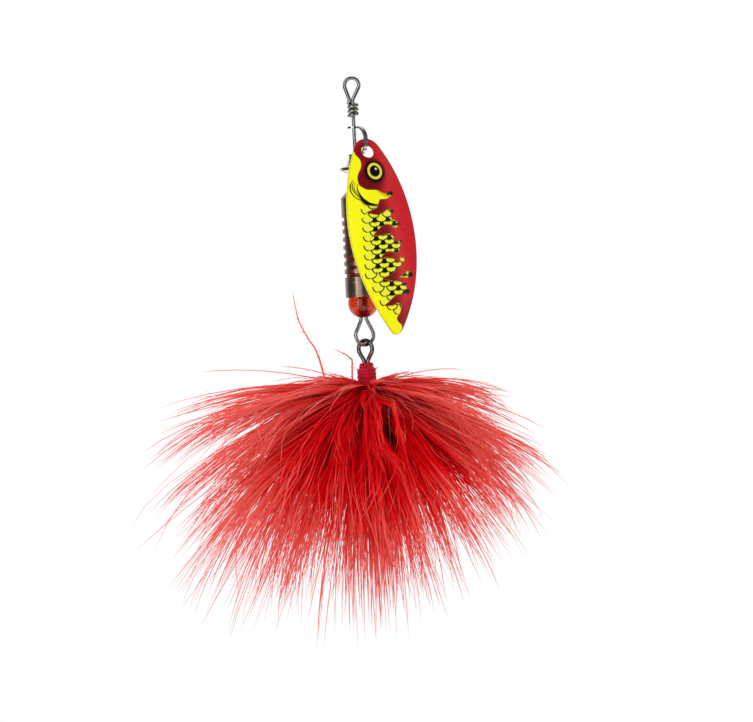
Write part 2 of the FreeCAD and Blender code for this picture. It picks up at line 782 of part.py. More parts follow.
os.makedirs("parts", exist_ok=True)
for piece in pieces:
    piece.Shape.exportStep(os.path.join("parts", piece.Label + ".step"))
    box = piece.Shape.BoundBox
    print(f"{piece.Label:18s} {len(piece.Shape.Solids)} solid, {piece.Shape.Volume:9.3f} mm3,", end=" ")
    print(f"z {box.ZMin:8.2f} to {box.ZMax:8.2f}, x {box.XMin:7.2f} to {box.XMax:7.2f}")
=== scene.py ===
import math
import random

import bmesh
import bpy
import numpy as np
from bpy.props import FloatProperty, FloatVectorProperty, IntProperty, PointerProperty
from mathutils import Matrix, Vector


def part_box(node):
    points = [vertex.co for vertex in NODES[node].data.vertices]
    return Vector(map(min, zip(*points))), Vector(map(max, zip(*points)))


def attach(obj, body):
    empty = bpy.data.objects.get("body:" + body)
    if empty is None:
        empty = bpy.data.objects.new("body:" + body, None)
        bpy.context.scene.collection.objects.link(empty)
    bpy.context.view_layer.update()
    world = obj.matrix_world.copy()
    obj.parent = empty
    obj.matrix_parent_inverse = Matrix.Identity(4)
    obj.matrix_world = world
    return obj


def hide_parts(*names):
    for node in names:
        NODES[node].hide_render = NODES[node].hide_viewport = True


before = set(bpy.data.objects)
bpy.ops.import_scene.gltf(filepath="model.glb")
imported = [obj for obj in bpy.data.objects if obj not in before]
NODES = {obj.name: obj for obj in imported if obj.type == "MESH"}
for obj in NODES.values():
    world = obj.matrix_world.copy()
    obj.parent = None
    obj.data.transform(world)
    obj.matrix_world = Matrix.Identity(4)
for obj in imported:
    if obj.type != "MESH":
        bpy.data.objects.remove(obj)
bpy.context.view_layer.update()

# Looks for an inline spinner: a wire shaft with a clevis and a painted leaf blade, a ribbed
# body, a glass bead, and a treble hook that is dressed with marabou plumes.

bl_info = {
    "name": "Inline Spinner Looks",
    "version": (1, 0, 0),
    "blender": (4, 5, 0),
    "location": "View3D > Sidebar > Spinner",
    "description": "Finishes, thread wraps, plumes and studio for a dressed inline spinner",
    "category": "Object",
}

MM = 0.001
THREAD_SEED, PLUME_SEED = 41, 700

# ---------------------------------------------------------------- places taken from the frame

LINE_EYE = Vector((0.0, 0.0, 0.0))
THREAD_LOW, THREAD_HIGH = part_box("thread_binding")

# the blade's own frame: where its hole hangs on the clevis, and how it is turned, leaned and rolled
BLADE_LINK = Vector((1.891, -2.420, -12.995)) * MM
BLADE_TURN, BLADE_LEAN, BLADE_ROLL = (math.radians(a) for a in (22.0, -10.5, -2.7))
# from the hole, in millimetres: how far right the blade's axis is, and how far up its top
BLADE_AXIS, BLADE_TOP = 0.48, 2.25

# each plume's heading, and its lean from straight down, in degrees
PLUMES = {
    "right_front": (-38, 42),
    "right": (-4, 62),
    "right_back": (29, 47),
    "back": (84, 23),
    "back_left": (116, 41),
    "left_back": (147, 58),
    "left_front": (203, 61),
    "front_left": (236, 41),
    "front": (266, 18),
}


# ---------------------------------------------------------------- settings


class SpinnerSizes(bpy.types.PropertyGroup):
    """Sizes that change how the dressing and the wraps are made."""

    barbs: IntProperty(name="Barbs", description="Fine barbs in one plume", default=640, min=24)
    barbules: IntProperty(
        name="Barbules", description="Fine side hairs on one broad barb", default=13, min=0
    )
    barb_width: FloatProperty(
        name="Barb width", description="Widest part of a fluffy barb", default=1.25 * MM, unit="LENGTH"
    )
    thread: FloatProperty(
        name="Thread", description="Diameter of the tying thread", default=0.25 * MM, unit="LENGTH"
    )


class SpinnerColours(bpy.types.PropertyGroup):
    """Colours of the paint, the glass, the thread and the plumes."""

    belly: FloatVectorProperty(
        name="Belly", description="Yellow paint of the belly", default=(0.84, 0.83, 0.0), subtype="COLOR"
    )
    back: FloatVectorProperty(
        name="Back", description="Red paint of the back", default=(0.52, 0.006, 0.012), subtype="COLOR"
    )
    glass: FloatVectorProperty(
        name="Glass", description="Red glass of the bead", default=(0.46, 0.018, 0.003), subtype="COLOR"
    )
    thread: FloatVectorProperty(
        name="Thread", description="Crimson tying thread", default=(0.86, 0.006, 0.045), subtype="COLOR"
    )
    plume: FloatVectorProperty(
        name="Plume", description="Dyed red of the plumes", default=(1.0, 0.004, 0.020), subtype="COLOR"
    )


# ---------------------------------------------------------------- node helpers


class Finish:
    """One material under construction: each method adds a node and gives back its output."""

    def __init__(self, name, metal=False):
        self.material = bpy.data.materials.new(name)
        self.material.use_nodes = True
        self.tree = self.material.node_tree
        self.nodes = self.tree.nodes
        self.nodes.clear()
        self.output = self.nodes.new("ShaderNodeOutputMaterial")
        self.shader = self.nodes.new("ShaderNodeBsdfPrincipled")
        self.shader.inputs["Metallic"].default_value = 1.0 if metal else 0.0
        self.tree.links.new(self.shader.outputs[0], self.output.inputs["Surface"])
        self.place = self.nodes.new("ShaderNodeTexCoord")

    def wire(self, value, socket):
        """Links a socket, or sets a plain number or colour."""
        if isinstance(value, bpy.types.NodeSocket):
            self.tree.links.new(value, socket)
        elif isinstance(value, (tuple, list)) and len(value) == 3 and len(socket.default_value) == 4:
            socket.default_value = (*value, 1.0)
        else:
            socket.default_value = value

    def set(self, **inputs):
        """Sets inputs of the Principled shader; underscores stand for blanks."""
        for name, value in inputs.items():
            self.wire(value, self.shader.inputs[name.replace("_", " ")])

    def math(self, operation, first, second=0.0, third=0.0):
        node = self.nodes.new("ShaderNodeMath")
        node.operation = operation
        for socket, value in zip(node.inputs, (first, second, third)):
            self.wire(value, socket)
        return node.outputs[0]

    def add(self, first, second):
        return self.math("ADD", first, second)

    def subtract(self, first, second):
        return self.math("SUBTRACT", first, second)

    def times(self, first, second):
        return self.math("MULTIPLY", first, second)

    def either(self, first, second):
        return self.math("MAXIMUM", first, second)

    def both(self, first, second):
        return self.math("MINIMUM", first, second)

    def size(self, value):
        return self.math("ABSOLUTE", value)

    def slope(self, value, rise, start):
        """A straight line: value times rise, from start."""
        return self.math("MULTIPLY_ADD", value, rise, start)

    def length(self, first, second):
        """The long side over two sides at a right angle."""
        return self.math("POWER", self.add(self.times(first, first), self.times(second, second)), 0.5)

    def fade(self, value, start, end, low=0.0, high=1.0, smooth=True):
        """Goes from low at start to high at end."""
        node = self.nodes.new("ShaderNodeMapRange")
        node.interpolation_type = "SMOOTHSTEP" if smooth else "LINEAR"
        for socket, number in zip(node.inputs, (value, start, end, low, high)):
            self.wire(number, socket)
        return node.outputs[0]

    def mix(self, factor, first, second):
        node = self.nodes.new("ShaderNodeMix")
        node.data_type = "RGBA"
        self.wire(factor, node.inputs[0])
        self.wire(first, node.inputs[6])
        self.wire(second, node.inputs[7])
        return node.outputs[2]

    def mapping(self, location=(0, 0, 0), rotation=(0, 0, 0), scale=(1, 1, 1), kind="POINT"):
        node = self.nodes.new("ShaderNodeMapping")
        node.vector_type = kind
        self.wire(self.place.outputs["Object"], node.inputs["Vector"])
        node.inputs["Location"].default_value = location
        node.inputs["Rotation"].default_value = rotation
        node.inputs["Scale"].default_value = scale
        return node.outputs[0]

    def split(self, vector):
        node = self.nodes.new("ShaderNodeSeparateXYZ")
        self.wire(vector, node.inputs[0])
        return node.outputs

    def noise(self, vector, scale, detail=3.0, roughness=0.5):
        node = self.nodes.new("ShaderNodeTexNoise")
        self.wire(vector, node.inputs["Vector"])
        for name, value in (("Scale", scale), ("Detail", detail), ("Roughness", roughness)):
            node.inputs[name].default_value = value
        return node.outputs[0]

    def attribute(self, name):
        node = self.nodes.new("ShaderNodeAttribute")
        node.attribute_name = name
        return node.outputs["Fac"]

    def curve(self, value, points, low, high, bottom, top, smooth=True):
        """A drawn line: value runs from low to high, and the points give what comes out."""
        across = self.fade(value, low, high, smooth=False)
        node = self.nodes.new("ShaderNodeFloatCurve")
        line = node.mapping.curves[0]
        drawn = [((x - low) / (high - low), (y - bottom) / (top - bottom)) for x, y in points]
        drawn = [(0.0, drawn[0][1])] + drawn + [(1.0, drawn[-1][1])]
        line.points[0].location, line.points[1].location = drawn[0], drawn[-1]
        for spot in drawn[1:-1]:
            line.points.new(*spot)
        for point in line.points:
            point.handle_type = "AUTO_CLAMPED" if smooth else "VECTOR"
        node.mapping.update()
        self.wire(across, node.inputs["Value"])
        return self.slope(node.outputs[0], top - bottom, bottom)

    def bump(self, height, strength, distance):
        node = self.nodes.new("ShaderNodeBump")
        node.inputs["Strength"].default_value = strength
        node.inputs["Distance"].default_value = distance
        self.wire(height, node.inputs["Height"])
        self.wire(node.outputs[0], self.shader.inputs["Normal"])

    def overlay(self, share, kind, colour=(1.0, 1.0, 1.0)):
        """Mixes a plain shader of another kind over the Principled one, by share."""
        other = self.nodes.new(kind)
        self.wire(colour, other.inputs["Color"])
        blend = self.nodes.new("ShaderNodeMixShader")
        self.wire(share, blend.inputs[0])
        self.tree.links.new(self.shader.outputs[0], blend.inputs[1])
        self.tree.links.new(other.outputs[0], blend.inputs[2])
        self.tree.links.new(blend.outputs[0], self.output.inputs["Surface"])

    def onto(self, *objects):
        """Gives the objects this material and no other."""
        for obj in objects:
            obj.data.materials.clear()
            obj.data.materials.append(self.material)


# ---------------------------------------------------------------- finishes


def wire_metal(name, dark, light, seed, polish=0.14):
    """Drawn, plated wire: darker stains, lighter rubbed places and fine scratches."""
    finish = Finish(name, metal=True)
    cloud = finish.noise(finish.mapping(location=(seed, 0, 0)), 300.0, 4.0, 0.6)
    grain = finish.noise(finish.mapping(location=(0, seed, 0), scale=(1, 1, 0.10)), 2600.0, 2.0)
    finish.set(
        Base_Color=finish.mix(finish.fade(cloud, 0.35, 0.68), dark, light),
        Roughness=finish.fade(cloud, 0.3, 0.7, polish + 0.10, polish),
    )
    finish.bump(grain, 0.05, 0.006 * MM)
    return finish


# the body's red grooves: radius of their floor and of bare bronze, and the stretch that they lie on
GROOVE_RADIUS, BRONZE_RADIUS = 3.04 * MM, 3.20 * MM
GROOVES_FOOT, GROOVES_TOP, GROOVES_EDGE = -40.0 * MM, -26.0 * MM, 0.1 * MM


def bronze_body(name):
    """Bronzed brass with turned rings, some of them lighter, and red lacquer in the grooves."""
    finish = Finish(name, metal=True)
    x, y, z = finish.split(finish.place.outputs["Object"])
    rings = finish.noise(finish.mapping(scale=(0.04, 0.04, 1)), 6000.0, 3.0)
    cloud = finish.noise(finish.mapping(scale=(1, 1, 0.45)), 380.0, 5.0, 0.62)
    bronze = finish.mix(finish.fade(cloud, 0.3, 0.7), (0.19, 0.125, 0.088), (0.34, 0.245, 0.180))
    bronze = finish.mix(finish.fade(rings, 0.5, 0.8, 0.0, 0.3), bronze, (0.46, 0.36, 0.28))
    proud = finish.fade(finish.length(x, y), GROOVE_RADIUS, BRONZE_RADIUS)
    above = finish.fade(z, GROOVES_FOOT, GROOVES_FOOT + GROOVES_EDGE)
    below = finish.fade(z, GROOVES_TOP, GROOVES_TOP - GROOVES_EDGE)
    lacquer = finish.times(finish.subtract(1.0, proud), finish.both(above, below))
    mottle = finish.noise(finish.mapping(location=(3, 1, 0)), 700.0, 3.0)
    red = finish.mix(finish.fade(mottle, 0.3, 0.7), (0.11, 0.001, 0.002), (0.25, 0.003, 0.005))
    finish.set(
        Base_Color=finish.mix(lacquer, bronze, red),
        Metallic=finish.fade(lacquer, 0.0, 1.0, 1.0, 0.0),
        Roughness=finish.fade(rings, 0.3, 0.7, 0.22, 0.34),
        Specular_IOR_Level=0.2,
    )
    finish.bump(rings, 0.15, 0.012 * MM)
    return finish


def pale_brass(name, dark, light):
    """Turned brass under thin nickel, with fine rings and a few stains."""
    finish = Finish(name, metal=True)
    rings = finish.noise(finish.mapping(scale=(0.05, 0.05, 1)), 6000.0, 3.0)
    cloud = finish.noise(finish.mapping(location=(7, 0, 2)), 520.0, 4.0, 0.6)
    finish.set(
        Base_Color=finish.mix(finish.fade(cloud, 0.35, 0.7), dark, light),
        Roughness=finish.fade(rings, 0.3, 0.7, 0.10, 0.20),
    )
    finish.bump(rings, 0.15, 0.010 * MM)
    return finish


def red_glass(name, colour):
    """Pressed red glass: clear, with lighter streaks and a faintly uneven surface."""
    finish = Finish(name)
    uneven = finish.noise(finish.mapping(scale=(1, 1, 1.4)), 330.0, 2.0)
    streak = finish.noise(finish.mapping(location=(2, 5, 1), scale=(1, 1, 0.3)), 900.0, 3.0)
    finish.set(
        Base_Color=finish.mix(finish.fade(streak, 0.35, 0.7), colour, (0.58, 0.045, 0.006)),
        Roughness=finish.fade(uneven, 0.3, 0.7, 0.02, 0.07),
        Transmission_Weight=1.0,
        IOR=1.5,
    )
    finish.bump(uneven, 0.15, 0.02 * MM)
    return finish


# ---------------------------------------------------------------- blade paint

# all of these are in millimetres on the blade: down from its top, and right of its axis
BLADE_LONG, BLADE_WIDE = (0.0, 40.0), (-5.5, 5.5)
BACK_EDGE = [
    (0.0, -5.5), (1.9, -4.0), (2.61, -2.85), (3.11, -2.75), (3.62, -2.51), (4.03, -2.24), (4.62, -2.06),
    (5.29, -2.08), (5.93, -2.28), (6.64, -2.71), (7.25, -3.11), (7.87, -3.38), (8.61, -3.49), (9.27, -3.45),
    (9.76, -3.25), (10.2, -2.8), (10.54, -2.33), (10.79, -1.6), (10.84, -0.5), (10.96, 0.0), (11.28, 0.5),
    (11.6, 1.02), (11.8, 1.66), (11.9, 2.6), (12.1, 3.1), (12.35, 2.87), (12.64, 2.19), (12.9, 1.9),
    (14.99, 1.76), (15.28, 2.05), (16.1, 2.03), (16.55, 1.84), (17.05, 1.97), (17.38, 2.65), (17.53, 3.07),
    (18.08, 3.16), (18.62, 3.0), (18.96, 2.47), (20.12, 1.35), (20.35, 1.5), (20.82, 1.72), (21.36, 1.67),
    (21.52, 1.8), (21.68, 3.1), (21.9, 3.2), (22.24, 3.04), (22.94, 2.66), (23.47, 2.46), (23.82, 2.3),
    (25.02, 1.0), (25.31, 1.25), (25.5, 1.7), (25.62, 2.2), (26.1, 2.54), (26.7, 2.14), (26.94, 1.8),
    (27.44, 1.23), (29.47, 1.23), (29.69, 2.0), (30.26, 2.63), (30.89, 3.06), (31.51, 3.23), (31.94, 3.02),
    (33.71, 0.7), (33.84, 1.18), (34.12, 1.44), (34.72, 1.37), (35.31, 1.16), (35.81, 0.86), (36.13, 0.54),
    (36.37, 0.27), (36.79, 0.18), (37.23, 0.33), (37.69, 0.67), (38.05, 1.03), (38.75, 1.1), (39.54, 0.87),
]
# each bar: its upper edge and its lower edge, as (right, down), and how far up and down they may run
BAR_SPAN = 4.0
BARS = [
    (
        [(-3.25, 15.34), (-3.01, 15.23), (-2.24, 15.0), (-1.48, 14.82), (-0.88, 14.6), (-0.4, 14.09),
         (-0.18, 13.74), (-0.02, 13.2), (0.29, 12.86), (1.31, 12.88), (2.26, 12.7), (5.5, 12.3)],
        [(-3.25, 15.34), (-2.35, 15.59), (-2.11, 15.71), (-1.5, 15.91), (-0.78, 16.03), (-0.48, 15.92),
         (-0.05, 15.69), (0.59, 15.37), (1.23, 15.14), (1.76, 14.99), (2.1, 15.2), (5.5, 15.3)],
    ),
    (
        [(-3.46, 20.44), (-3.0, 20.28), (-2.5, 19.98), (-2.07, 19.58), (-1.44, 19.11), (-0.69, 18.55),
         (-0.17, 18.32), (0.45, 18.1), (1.03, 18.14), (1.58, 18.36), (1.92, 18.66), (2.47, 18.96),
         (5.5, 18.8)],
        [(-3.46, 20.44), (-3.01, 20.37), (-2.25, 20.1), (-1.61, 20.09), (-1.17, 20.22), (-0.49, 20.11),
         (0.2, 19.99), (0.88, 19.99), (1.35, 20.12), (1.5, 20.35), (1.75, 20.8), (5.5, 20.9)],
    ),
    (
        [(-2.41, 25.19), (-2.0, 24.88), (-1.59, 24.57), (-1.46, 24.32), (-1.04, 24.01), (-0.43, 23.71),
         (0.07, 23.57), (0.65, 23.58), (1.11, 23.74), (1.79, 23.88), (2.3, 23.82), (5.5, 23.6)],
        [(-2.41, 25.19), (-2.11, 25.0), (-1.62, 24.78), (-1.24, 24.74), (-0.66, 24.62), (-0.12, 24.75),
         (0.45, 24.85), (1.0, 25.02), (1.25, 25.31), (1.61, 25.6), (5.5, 25.6)],
    ),
    (
        [(-1.8, 28.75), (-1.6, 28.59), (-1.03, 28.48), (-0.44, 28.27), (-0.04, 28.13), (0.61, 27.65),
         (1.23, 27.44), (5.5, 27.0)],
        [(-1.8, 28.75), (-1.47, 29.05), (-0.92, 29.1), (-0.19, 29.26), (0.37, 29.4), (1.23, 29.47),
         (2.0, 29.69), (2.63, 30.26), (3.06, 30.89), (3.23, 31.5), (5.5, 31.6)],
    ),
    (
        [(-2.17, 33.82), (-1.64, 33.58), (-1.06, 33.29), (-0.65, 32.98), (-0.13, 32.6), (0.38, 32.29),
         (0.99, 32.12), (1.78, 32.13), (2.39, 32.08), (3.02, 31.94), (5.5, 31.9)],
        [(-2.17, 33.82), (-1.7, 34.09), (-1.24, 34.14), (-0.59, 34.12), (-0.1, 33.99), (0.31, 33.77),
         (0.7, 33.71), (1.18, 33.84), (1.44, 34.12), (5.5, 34.2)],
    ),
]
# a yellow tooth in the red: its edges' place at the axis and slope, where its round end starts, that
# end's middle and radius; and a yellow spot's middle and radius
TOOTH_TOP, TOOTH_FOOT, TOOTH_END = (29.80, 0.604), (28.66, -0.0988), 3.5
TOOTH_TIP, TOOTH_RADIUS = (28.25, 3.55), 0.88
SPOT, SPOT_RADIUS = (25.28, 2.83), 0.55
# the eye: its middle, how it is turned and narrowed, and its rings from the outside in, each with where
# it is full, where it ends and its colour
# the glint's middle is the place of a painted highlight on the pupil
EYE, PAINTED_GLINT = (7.0, 0.42), (6.56, 0.74)
EYE_COSINE, EYE_SINE, EYE_NARROW = 0.973, 0.23, 1.13
EYE_RINGS = (
    (1.95, 3.10, (0.004, 0.001, 0.001)),
    (1.68, 1.80, (0.72, 0.58, 0.05)),
    (1.14, 1.26, (0.002, 0.002, 0.002)),
)
# the red is darker round these two
CHEEK, HOLE = (8.9, -1.2), (3.1, -0.9)
# the gill's crescent and strokes lie in a frame turned by half a right angle: along, then across
GILL_LONG, STROKES_LONG, GILL_WIDE = (3.0, 10.5), (2.5, 7.0), (-12.5, -8.5)
GILL_UPPER = [
    (3.9, -9.0), (4.32, -9.65), (4.78, -10.12), (5.27, -10.44), (6.06, -10.76), (6.9, -10.93),
    (7.84, -10.9), (8.72, -10.6), (9.54, -10.17), (9.8, -10.05),
]
GILL_LOWER = [
    (3.9, -9.2), (4.32, -9.83), (4.78, -10.32), (5.32, -10.75), (6.11, -11.3), (6.74, -11.63),
    (7.44, -11.73), (8.2, -11.43), (8.95, -10.95), (9.67, -10.36), (9.8, -10.15),
]
# along, across, half width
GILL_STROKES = [
    [(2.79, -8.93, 0.4), (2.86, -9.57, 0.5), (3.07, -10.22, 0.3), (3.41, -10.77, 0.2), (3.87, -11.24, 0.13),
     (4.42, -11.52, 0.10), (5.04, -11.7, 0.08), (5.65, -11.7, 0.08), (6.38, -11.56, 0.1)],
    [(3.05, -9.09, 0.25), (3.24, -9.76, 0.22), (3.56, -10.32, 0.14), (4.06, -10.76, 0.1),
     (4.72, -11.07, 0.07), (5.44, -11.23, 0.06), (6.06, -11.23, 0.06)],
    [(3.44, -9.38, 0.16), (3.66, -9.91, 0.13), (4.07, -10.41, 0.09), (4.67, -10.77, 0.06),
     (5.29, -11.0, 0.05), (5.77, -11.1, 0.04)],
]
# the scales: between columns and between rows, radius, how far sideways each is squeezed, and how the
# columns slant and the rows rise
SCALE_COLUMN, SCALE_ROW, SCALE_RADIUS, SCALE_SQUEEZE = 1.374, 1.84, 1.07, 0.9
SCALE_SLANT, SCALE_RISE = 0.0936, -0.0219
FIRST_SCALE = (17.5, -3.104)
# a scale's ink: where the rim's line ends and is full, how far up the middle of its dark dip is, and where
# that dip ends and is full; then how far down the first scales and the first dips come in
RIM_LINE, DIP_RISE, DIP_REACH = (0.155, 0.075), 0.98, (1.36, 0.98)
FIRST_SCALES, FIRST_DIPS = (13.2, 13.3), (16.6, 17.0)
# a scale is drawn when its middle stands right of this line
SCALES_LONG = (13.0, 37.0)
SCALES_START = [
    (13.9, -3.45), (16.4, -3.7), (20.0, -4.05), (24.0, -4.4), (27.7, -4.65), (28.1, -3.4), (30.7, -3.4),
    (31.1, -2.2), (33.2, -2.2), (33.6, -1.2), (34.3, -1.2), (34.6, -0.1), (35.4, -0.1), (35.6, 5.0),
]


def distance_to(paint, down, right, spot):
    """Distance from one place on the blade."""
    return paint.length(paint.subtract(right, spot[1]), paint.subtract(down, spot[0]))


def fold(paint, value, pitch):
    """Distance to the nearest multiple of pitch, with its sign."""
    return paint.subtract(value, paint.times(paint.math("ROUND", paint.times(value, 1.0 / pitch)), pitch))


def scale_grid(paint, down, right, step):
    """One grid of scales: place across and along from the middle, how far inside, and past the start."""
    first_down, first_right = FIRST_SCALE
    slanted = paint.slope(down, SCALE_SLANT, paint.subtract(right, first_right + first_down * SCALE_SLANT))
    risen = paint.slope(right, SCALE_RISE, paint.subtract(down, first_down + first_right * SCALE_RISE))
    across = fold(paint, paint.subtract(slanted, SCALE_COLUMN * step), SCALE_COLUMN * 2)
    # along runs from just under the scale above to this scale's own foot
    centred = fold(paint, paint.add(risen, SCALE_ROW / 2 * (1 - step)), SCALE_ROW)
    along = paint.add(centred, SCALE_RADIUS - SCALE_ROW / 2)
    sides = paint.add(paint.times(paint.times(across, across), SCALE_SQUEEZE), paint.times(along, along))
    inside = paint.subtract(SCALE_RADIUS, paint.math("POWER", sides, 0.5))
    start = paint.curve(paint.subtract(down, along), SCALES_START, *SCALES_LONG, *BLADE_WIDE, smooth=False)
    return across, along, inside, paint.subtract(paint.subtract(right, across), start)


def scale_ink(paint, down, right):
    """Overlapping scales: black along their lower rims and black where they dip under the row above."""
    grids = [scale_grid(paint, down, right, step) for step in (0.0, 1.0)]
    ink, cup = None, None
    for (across, along, inside, past), (_, other_along, other_inside, other_past) in (grids, grids[::-1]):
        middle = paint.subtract(down, along)
        here = paint.times(paint.fade(past, -0.02, 0.02), paint.fade(middle, *FIRST_SCALES))
        other = paint.both(paint.both(other_inside, paint.subtract(other_along, along)), other_past)
        shown = paint.fade(other, 0.02, -0.02)
        rim = paint.fade(paint.size(inside), *RIM_LINE)
        rim = paint.times(rim, paint.fade(along, -0.25, 0.0))
        depth = paint.length(across, paint.add(along, DIP_RISE))
        dark = paint.times(paint.fade(depth, *DIP_REACH), paint.fade(past, 0.9, 1.0))
        dark = paint.times(dark, paint.fade(middle, *FIRST_DIPS))
        dark = paint.times(paint.times(dark, shown), paint.fade(inside, 0.0, 0.05))
        black = paint.times(paint.either(rim, dark), here)
        pale = paint.times(paint.times(paint.fade(inside, 0.0, 0.2), shown), here)
        ink = black if ink is None else paint.either(ink, black)
        cup = pale if cup is None else paint.either(cup, pale)
    return ink, cup


def red_share(paint, down, right):
    """The red back with its bars, less the yellow tooth and spot: above zero where it is red."""
    red = paint.subtract(right, paint.curve(down, BACK_EDGE, *BLADE_LONG, *BLADE_WIDE))
    for upper, lower in BARS:
        root_right, root_down = upper[0]
        span = (root_down - BAR_SPAN, root_down + BAR_SPAN)
        top = paint.subtract(down, paint.curve(right, upper, *BLADE_WIDE, *span))
        foot = paint.subtract(paint.curve(right, lower, *BLADE_WIDE, *span), down)
        started = paint.subtract(right, root_right)
        red = paint.either(red, paint.both(paint.both(top, foot), started))
    tooth = paint.both(
        paint.subtract(TOOTH_FOOT[0], paint.slope(right, TOOTH_FOOT[1], down)),
        paint.subtract(paint.slope(right, TOOTH_TOP[1], down), TOOTH_TOP[0]),
    )
    tip = paint.subtract(TOOTH_RADIUS, distance_to(paint, down, right, TOOTH_TIP))
    tooth = paint.both(tooth, paint.either(paint.subtract(TOOTH_END, right), tip))
    spot = paint.subtract(SPOT_RADIUS, distance_to(paint, down, right, SPOT))
    return paint.both(red, paint.times(paint.either(tooth, spot), -1.0))


def gill_ink(paint, down, right):
    """The gill's crescent and its fine strokes."""
    along = paint.times(paint.add(down, right), math.sqrt(0.5))
    across = paint.times(paint.subtract(right, down), math.sqrt(0.5))
    ends = paint.both(paint.fade(along, 3.9, 4.1), paint.fade(along, 9.8, 9.6))
    upper = paint.subtract(paint.curve(along, GILL_UPPER, *GILL_LONG, *GILL_WIDE), across)
    lower = paint.subtract(across, paint.curve(along, GILL_LOWER, *GILL_LONG, *GILL_WIDE))
    ink = paint.both(paint.fade(upper, -0.09, 0.02), paint.fade(lower, -0.10, 0.02))
    soft = paint.both(paint.fade(upper, 0.0, 0.1), paint.fade(lower, -0.6, 0.1, 0.0, 0.6))
    ink = paint.times(paint.either(ink, soft), ends)
    for stroke in GILL_STROKES:
        first, last = stroke[0][0], stroke[-1][0]
        middle = paint.curve(along, [(u, v) for u, v, _ in stroke], *STROKES_LONG, *GILL_WIDE)
        width = paint.curve(along, [(u, w) for u, _, w in stroke], *STROKES_LONG, 0.0, 0.6)
        line = paint.subtract(width, paint.size(paint.subtract(across, middle)))
        line = paint.both(paint.fade(line, -0.09, 0.02), paint.fade(across, -8.9, -9.3))
        ends = paint.both(paint.fade(along, first - 0.06, first), paint.fade(along, last + 0.1, last))
        ink = paint.either(ink, paint.times(paint.times(line, ends), 0.9))
    return ink


def eye_ring(paint, down, right, colour):
    """A dark halo, a gold ring and a black pupil, slightly taller than wide, with a glint that is a painted
    highlight.
    """
    below, beside = paint.subtract(down, EYE[0]), paint.subtract(right, EYE[1])
    tall = paint.slope(below, EYE_COSINE, paint.times(beside, -EYE_SINE))
    wide = paint.times(paint.slope(beside, EYE_COSINE, paint.times(below, EYE_SINE)), EYE_NARROW)
    far = paint.length(tall, wide)
    for full, gone, tone in EYE_RINGS:
        colour = paint.mix(paint.fade(far, full, gone, 1.0, 0.0), colour, tone)
    # painted highlight: a pale spot on the pupil for the eye's glint
    glint = distance_to(paint, down, right, PAINTED_GLINT)
    return paint.mix(paint.fade(glint, 0.10, 0.34, 0.9, 0.0), colour, (0.85, 0.80, 0.45))


def back_colour(paint, down, right, spray, back):
    """The red, darker by the cheek, round the hole, in the bars' roots and near the tip, and lighter towards
    the top right as a painted highlight.
    """
    cheek = paint.fade(distance_to(paint, down, right, CHEEK), 1.6, 4.6, 1.0, 0.0)
    hole = paint.fade(distance_to(paint, down, right, HOLE), 1.3, 3.0, 0.85, 0.0)
    bars = paint.times(paint.fade(down, 12.4, 13.4), paint.fade(right, 0.0, 2.9, 0.92, 0.0))
    tip = paint.fade(down, 31.0, 36.5, 0.0, 0.62)
    shade = paint.either(paint.either(cheek, hole), paint.either(bars, tip))
    # painted highlight: the red turns lighter towards the top right, where the lamp's reflection falls
    light = paint.times(paint.fade(right, 0.6, 3.4), paint.fade(down, 14.0, 6.0))
    colour = paint.mix(paint.times(light, 0.40), back, (0.50, 0.030, 0.036))
    colour = paint.mix(paint.fade(spray, 0.35, 0.7, 0.0, 0.12), colour, (0.62, 0.02, 0.025))
    return paint.mix(shade, colour, (0.150, 0.001, 0.005))


BLACK, RIM_SHADE = (0.005, 0.005, 0.003), (0.05, 0.004, 0.002)
# the painted shade along the blade's edge runs on two arcs: how far aside and how far down their centres
# are, the radii where it starts and is full, and how dark it is on the right and on the left
RIM_ASIDE, RIM_DOWN, RIM_RADII, RIM_SHADE_SHARES = 30.31, 19.12, (36.95, 37.14), ((1.0, 0.8), (-1.0, 0.25))
# dark blobs: place down and right, size and softness
BLOBS = [
    (11.83, 2.85, 0.34, 0.32), (11.93, 2.15, 0.12, 0.5), (15.47, 2.32, 0.24, 0.26), (18.1, 3.2, 0.1, 0.5),
    (21.72, 3.1, 0.1, 0.35), (28.3, 4.25, 0.3, 0.55), (31.65, 3.05, 0.32, 0.5), (30.1, 2.75, 0.05, 0.45),
]


def blade_place(paint, turned):
    """Where a point lies on the blade, down and right, and the spray that makes its edges uneven."""
    scale = (MM, MM, MM)
    local = paint.mapping(location=BLADE_LINK, rotation=turned.to_euler("XYZ"), scale=scale, kind="TEXTURE")
    local_x, _, local_z = paint.split(local)
    spray = paint.noise(local, 2.6, 4.0, 0.6)
    wobble = paint.fade(spray, 0.0, 1.0, -0.04, 0.04, smooth=False)
    return paint.subtract(BLADE_TOP, local_z), paint.add(paint.subtract(local_x, BLADE_AXIS), wobble), spray


def drawn_ink(paint, down, right, red, ink):
    """The scales' ink with the bars' outlines, the gill, the slit under it and the dark blobs."""
    outline = paint.fade(paint.size(paint.add(red, 0.06)), 0.12, 0.03)
    outline = paint.times(outline, paint.both(paint.fade(down, 14.2, 15.2), paint.fade(down, 36.0, 35.0)))
    ink = paint.either(ink, paint.times(paint.times(outline, paint.fade(right, -2.0, 0.0)), 0.8))
    ink = paint.either(ink, gill_ink(paint, down, right))
    under = paint.subtract(paint.slope(right, -0.6, down), 10.95)
    slit = paint.times(paint.fade(under, 1.0, 0.0, 0.0, 0.5), paint.fade(right, -0.5, 0.6))
    ink = paint.either(ink, paint.times(slit, paint.fade(down, 13.0, 12.6)))
    ink = paint.times(ink, paint.subtract(1.0, paint.fade(red, -0.05, 0.06)))
    for spot_down, spot_right, size, soft in BLOBS:
        far = distance_to(paint, down, right, (spot_down, spot_right))
        ink = paint.either(ink, paint.fade(far, size, size + soft, 1.0, 0.0))
    return ink


